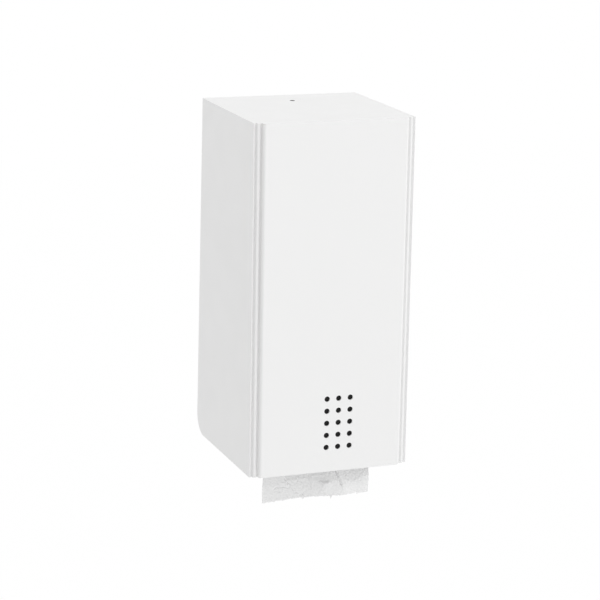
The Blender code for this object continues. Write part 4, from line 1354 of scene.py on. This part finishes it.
@dataclass
class Roll(Assembly):
    """A cardboard core and the tissue wound on it."""

    name: str
    height: float
    radius: float
    free_edge: float
    lumps: float
    layer: float = 0.0007
    edge: float = 0.0014
    ridge: float = 0.00028
    board_edge: float = 0.00015
    steps: int = 220

    def wound(self, seat: Seat) -> Mesh:
        """Work out the wound tissue.

        The outer radius falls by the free edge's thickness over one turn, which leaves the step where the
        sheet ends, and two slow waves round and along make it lumpy. On the end faces each layer stands in or
        out by a mix of three sines of its number, and near the core all of this fades out.

        Args:
            seat: Place and direction of the axis.

        Returns:
            The closed mesh.
        """
        inner = LAYOUT.core_radius + LAYOUT.gap
        depth = self.radius - inner
        layers = np.linspace(0.0, 1.0, int(depth / self.layer * 4) + 1)
        number = (inner + depth * layers) / self.layer
        wander = np.sin(2.3 * number) + np.sin(5.1 * number + 1.0) + np.sin(0.37 * number + 2.0)
        stand_out = self.ridge * (wander - 3.0) / 6.0
        curl = np.linspace(0.0, math.pi / 2, 7)[1:]
        reach = np.append(inner + (depth - self.edge) * layers, self.radius - self.edge * (1 - np.sin(curl)))
        along = np.append(stand_out, stand_out[-1] - self.edge * (1 - np.cos(curl))) + LAYOUT.roll_width / 2
        middle = np.linspace(along[-1], -along[-1], 26)[1:-1]
        reach = np.concatenate([reach, 0 * middle + self.radius, reach[::-1]])
        along = np.concatenate([along, middle, -along[::-1]])
        angle = np.linspace(0.0, TURN, self.steps + 1)
        waves = np.sin(3 * angle + 40 * along[:, None]) * np.sin(2 * angle - 25 * along[:, None] + 1.0)
        lump = self.lumps * (1 + waves) / 2 * smooth_step(np.minimum(angle, TURN - angle))
        cut = ((reach - inner) / depth)[:, None] ** 3 * (self.free_edge * angle / TURN + lump)
        profile = np.stack([along, reach], axis=1)
        return turned(f"{self.name}_roll_tissue", profile, seat, self.steps, closed=True, cut=cut)

    def build(self) -> None:
        """Add the core and the tissue."""
        seat = Seat((0.0, LAYOUT.axis_y, self.height), Direction.RIGHT)
        half, body = LAYOUT.roll_width / 2, f"{self.name}_roll"
        corners = [(half, LAYOUT.core_radius), (-half, LAYOUT.core_radius)]
        corners += [(-half, LAYOUT.core_bore), (half, LAYOUT.core_bore)]
        profile = filleted([(*corner, self.board_edge) for corner in corners], steps=3)
        core = turned(f"{body}_core_piece", profile, seat, steps=96, closed=True)
        self.workshop.place(core, PALETTE.board, body, f"{body}_core")
        self.workshop.place(self.wound(seat), PALETTE.tissue, body, f"{body}_paper")


@dataclass
class TissueTail(Assembly):
    """The loose end of the tissue: a sheet that lies over the used roll and hangs down from its front.

    The sizes from the shreds on are in millimetres, across from the middle and down from the cover's bottom.
    """

    roll: Roll
    thickness: float = 0.00024
    lie: float = 0.00016
    wrap_degrees: float = 150.0
    drop: float = 0.0345
    columns: int = 331
    wrap_rows: int = 24
    hidden_rows: int = 26
    shown_rows: int = 98
    shown_from: float = 9.0
    shreds: tuple[Triple, ...] = (
        (-46.0, 0.35, 0.5), (-38.5, 0.4, 0.6), (-31.0, 0.3, 0.9), (-19.5, 0.35, 0.5), (-11.6, 1.7, 0.7),
        (-5.5, 0.3, 0.5), (2.5, 0.3, 0.6), (7.6, 0.9, 0.5), (13.6, 3.0, 0.6), (24.5, 0.3, 0.5),
        (33.0, 0.35, 0.5), (39.0, 1.2, 0.6), (44.5, 0.35, 0.4),
    )
    mottle: tuple[tuple[float, float, float, float], ...] = (
        (1.9, 0.6, 0.035, 0.0), (1.3, -1.4, 0.04, 1.0), (-0.8, 1.9, 0.035, 2.0), (2.2, 1.1, 0.025, 3.0),
        (0.9, 1.2, 0.05, 4.0), (-1.5, 0.5, 0.035, 5.0),
    )
    pressed: tuple[tuple[tuple[Pair, ...], float, float], ...] = (
        (((-29.0, 15.3), (-25.7, 19.3), (-24.3, 21.3), (-22.0, 25.0), (-20.9, 27.1), (-18.6, 29.0),
          (-14.8, 30.5), (-12.0, 32.0)), 0.75, 0.8),
        (((-26.0, 24.6), (-28.5, 23.4), (-37.4, 22.7), (-39.4, 24.4), (-38.0, 26.4), (-32.0, 26.9)), 0.5, 0.65),
        (((-6.9, 14.5), (-6.3, 17.5), (-4.2, 27.0)), 0.4, 0.8),
        (((17.4, 11.0), (18.0, 12.9), (22.9, 24.0)), 1.45, 1.05),
    )

    def torn_edge(self, x: Array) -> Array:
        """Work out how far the torn edge hangs below the cover.

        It is a shallow arch, lowest at the corners, plus small sines of unlike lengths, plus bell curves for
        the shreds that hang from it.

        Args:
            x: Places across, in millimetres.

        Returns:
            The edge's distances below the cover's bottom, in millimetres.
        """
        arch = MM * self.drop + 1.35 * (x / 49.5) ** 2 + 0.5 - 0.006 * (x + 49.5)
        jag = 0.16 * np.sin(0.61 * x + 1.0) + 0.13 * np.sin(1.43 * x) + 0.10 * np.sin(2.9 * x + 2.0)
        fine = 0.09 * np.sin(5.3 * x + 0.5) + 0.06 * np.sin(9.7 * x)
        return arch + jag + fine + sum(length * bell(x - place, width) for place, length, width in self.shreds)

    @staticmethod
    def pressed_line(x: Array, fallen: Array, path: Sequence[Pair], width: float) -> Array:
        """Work out a bell curve of the distance from a line through a few places: one on it, nothing far off.

        Args:
            x: Places across, in millimetres.
            fallen: Distances below the cover's bottom, in millimetres.
            path: The places that the line runs through, across and below.
            width: The line's half width, in millimetres.

        Returns:
            The share of the line's depth at each place.
        """
        nearest = np.full(fallen.shape, np.inf)
        for (x_0, fallen_0), (x_1, fallen_1) in zip(path[:-1], path[1:]):
            run, drop = x_1 - x_0, fallen_1 - fallen_0
            share = np.clip(((x - x_0) * run + (fallen - fallen_0) * drop) / (run**2 + drop**2), 0.0, 1.0)
            nearest = np.minimum(nearest, np.hypot(x - x_0 - share * run, fallen - fallen_0 - share * drop))
        return bell(nearest, width)

    def relief(self, x: Array, fallen: Array) -> Array:
        """Work out how far the sheet stands forward of the hanging plane.

        The sheet comes forward towards a slanting crease, steps over it and falls back beyond it, and its
        corner falls back more below a second crease. Slow waves, a belly, a middle fold, a dent with a pinch
        over it, the pressed lines, and an embossed chain of dots and mottle are added. All of it grows from
        nothing inside the cover. A crease is given by the distance from a slanting line.

        Args:
            x: Places across, in millimetres.
            fallen: Distances below the cover's bottom, in millimetres.

        Returns:
            The distances forward, in millimetres.
        """
        crease = (x - 18.8 - 0.364 * (fallen - 13.6)) / 1.064
        second = (fallen - 25.4 + 0.265 * (x - 24.3)) / 1.035
        middle = x + 6.2 - 0.15 * (fallen - 16)
        chain_line = fallen - 17.7 + 0.131 * (x + 18.6)
        shown = smooth_step((33.0 - fallen) / 6)
        waves = 0.35 * np.sin(x / 8.5 + 0.6) + 0.3 * np.sin(x / 4.1 - fallen / 9.0) * smooth_step(fallen / 20 + 0.5)
        rise = 3.7 * smooth_step((crease + 26) / 28) + 0.9 * shown * smooth_step(crease / 1.3 + 0.5) - 1.4
        fall = 0.08 * positive(crease, 0.5)
        corner = 0.11 * positive(np.minimum(second, 0.9 * crease), 0.03)
        facet = 0.16 * positive(-second, 0.03) * smooth_step((crease - 1.5) / 14)
        lifted = 0.13 * positive(21.5 - fallen, 4.0) * smooth_step((-27.5 - x) / 4)
        belly = 1.1 * smooth_step((fallen - 9.0) / 13) * bell(x - 11.0, 13)
        fold = 0.4 * smooth_step(middle / 1.1 + 0.5) * bell(middle, 9) * shown
        pinch = smooth_step((fallen - 21.0) / 2.8 + 0.5) * bell(np.maximum(fallen - 21.0, 0), 9)
        dent = 2.1 * bell(x - 8.0, 4.8) * pinch
        lines = sum(depth * self.pressed_line(x, fallen, path, width) for path, depth, width in self.pressed)
        dots = (1 + np.sin(TURN * x / 3.8)) * smooth_step((18 - np.abs(x + 5)) / 5)
        chain = 0.11 * bell(chain_line, 0.8) * dots
        mottle = sum(tall * np.sin(across * x + down * fallen + phase) for across, down, tall, phase in self.mottle)
        forms = waves + rise - fall - corner - facet + lifted + belly + fold + dent - lines + chain + mottle
        return smooth_step((fallen + 22) / 36) * forms

    def sheet(self) -> Mesh:
        """Work out the sheet's middle surface: an arc over the roll, then straight down with its relief.

        The rows are stretched more the nearer they are to the torn edge, so that the last one follows it, and
        the sheet widens a little below the cover.

        Returns:
            The open mesh, with the flat sheet as its unrolled surface.
        """
        radius = self.roll.radius + self.lie + self.thickness / 2
        half = LAYOUT.roll_width / 2 * np.linspace(-1.0, 1.0, self.columns)
        turn = np.linspace(math.pi - math.radians(self.wrap_degrees), math.pi, self.wrap_rows)[:-1, None]
        wrap_y, wrap_z = LAYOUT.axis_y + radius * np.cos(turn), self.roll.height + radius * np.sin(turn)
        wrap = np.stack(np.broadcast_arrays(half, wrap_y, wrap_z), axis=-1)
        plain, inside = MM * self.drop, MM * (self.roll.height - LAYOUT.cover_bottom)
        hidden = np.linspace(-inside, self.shown_from, self.hidden_rows)[:-1]
        rows = np.append(hidden, np.linspace(self.shown_from, plain, self.shown_rows))[:, None]
        pulled = ((rows + inside) / (inside + plain)) ** 9
        fallen = rows + pulled * (self.torn_edge(MM * half) - plain)
        x = MM * half * (1 + 0.009 * smooth_step(fallen / 36))
        y = LAYOUT.axis_y - radius - self.relief(x, fallen) / MM
        hang = np.stack([x / MM, y, LAYOUT.cover_bottom - fallen / MM], axis=-1)
        points = np.concatenate([wrap, hang])
        unrolled = np.stack(np.meshgrid(half, travelled(points[:, self.columns // 2])), axis=-1)
        return mesh_from("tissue_sheet", points, [grid_faces(len(points), self.columns)], unrolled)

    def build(self) -> None:
        piece = self.workshop.place(self.sheet(), PALETTE.tissue, "root", "paper_tail")
        modify(piece, "SOLIDIFY", thickness=self.thickness, offset=0.0)
        settle(piece)
        smooth(piece.data, 60.0)
        self.workshop.dress(piece, PALETTE.tissue)


@dataclass
class Studio:
    """Floor, world, lamps and camera."""

    floor_height: float = -1.6
    floor_half: float = 9.0
    floor_colour: Triple = (0.86, 0.86, 0.86)
    floor_glow: float = 1.02
    floor_glow_share: float = 0.88
    sky: float = 0.766
    lamps: tuple[tuple[str, Triple, float], ...] = (
        ("front_lamp", (1.06, -0.96, 0.26), 1.14), ("top_lamp", (0.0, 0.30, 0.95), 0.36),
    )
    softness: float = 73.0
    lens: float = 126.46
    sensor: float = 36.0
    camera_place: Triple = (-0.6252, -1.7693, 0.43795)
    camera_right: Triple = (0.94038, -0.33966, 0.01765)
    camera_up: Triple = (0.06701, 0.23588, 0.96948)
    camera_ahead: Triple = (0.33346, 0.91049, -0.24458)

    def build_world(self) -> None:
        """Make the white world that lights the object evenly and shows as white."""
        world = bpy.data.worlds.new("studio")
        world.use_nodes = True
        bpy.context.scene.world = world
        nodes = Nodes(world.node_tree)
        background = nodes.tree.nodes["Background"]
        background.inputs["Color"].default_value = WHITE
        nodes.tree.links.new(nodes.spread(nodes.seen(), self.sky, 1.0), background.inputs["Strength"])

    def build_floor(self) -> None:
        """Make the pale floor, which shows as white to the camera but keeps the shadows on it."""
        signs = np.array([(-1, -1, 0), (1, -1, 0), (1, 1, 0), (-1, 1, 0)])
        points = self.floor_half * signs + (0.0, 0.0, self.floor_height)
        floor = stand("floor", mesh_from("floor", points, [np.array([[0, 1, 2, 3]])]))
        shader = Shader("floor", {"Base Color": (*self.floor_colour, 1.0), "Roughness": 0.9})
        glow = shader.node("ShaderNodeEmission", {"Color": WHITE, "Strength": self.floor_glow})
        share = shader.sum("MULTIPLY", shader.seen(), self.floor_glow_share)
        inputs = {0: share, 1: shader.surface.outputs[0], 2: glow.outputs[0]}
        blend = shader.node("ShaderNodeMixShader", inputs)
        shader.tree.links.new(blend.outputs[0], shader.tree.nodes["Material Output"].inputs["Surface"])
        floor.data.materials.append(shader.material)

    def build_lamp(self, name: str, towards: Triple, power: float) -> None:
        """Make a soft lamp.

        Args:
            name: Name of the lamp.
            towards: Direction from the object to the lamp.
            power: Light on a surface square to it.
        """
        lamp = bpy.data.lights.new(name, "SUN")
        lamp.energy = power
        lamp.angle = math.radians(self.softness)
        behind = np.array(towards) / np.linalg.norm(towards)
        right = np.cross([0.0, 1.0, 0.0] if abs(behind[2]) > 0.9 else [0.0, 0.0, 1.0], behind)
        right /= np.linalg.norm(right)
        columns = np.stack([right, np.cross(behind, right), behind], axis=1)
        stand(name, lamp).matrix_world = Matrix(columns.tolist()).to_4x4()

    def build_camera(self) -> None:
        """Make the camera at the photograph's place."""
        data = bpy.data.cameras.new("camera")
        data.lens, data.sensor_width = self.lens, self.sensor
        data.clip_start, data.clip_end = 0.05, 60.0
        camera = stand("camera", data)
        behind = -np.array(self.camera_ahead)
        columns = np.stack([self.camera_right, self.camera_up, behind, self.camera_place], axis=1)
        camera.matrix_world = Matrix([*columns.tolist(), [0.0, 0.0, 0.0, 1.0]])
        bpy.context.scene.camera = camera

    def build(self) -> None:
        """Make everything round the object."""
        self.build_camera()
        self.build_world()
        self.build_floor()
        for lamp in self.lamps:
            self.build_lamp(*lamp)
        bpy.context.scene.view_settings.view_transform = "Standard"


def main() -> None:
    """Load the frame and build every sub-assembly on it."""
    logging.basicConfig(level=logging.INFO, format="%(name)s: %(message)s")
    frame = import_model()
    Studio().build()
    workshop = Workshop(frame)
    used = Roll(workshop, "lower", LAYOUT.lower_roll_z, LAYOUT.used_roll_radius, 0.0, 0.0)
    spare = Roll(workshop, "upper", LAYOUT.upper_roll_z, LAYOUT.full_roll_radius, 0.0004, 0.0009)
    assemblies: tuple[Assembly, ...] = (
        Cover(workshop),
        CoverHinge(workshop),
        Bracket(workshop),
        Latch(workshop),
        Buffers(workshop),
        Spindle(workshop, "lower", LAYOUT.lower_spindle_z),
        Spindle(workshop, "upper", LAYOUT.upper_spindle_z),
        used,
        spare,
        TissueTail(workshop, used),
    )
    for assembly in assemblies:
        assembly.build()
    LOG.info("%d pieces stand in the scene", workshop.count)


if __name__ == "__main__":
    main()
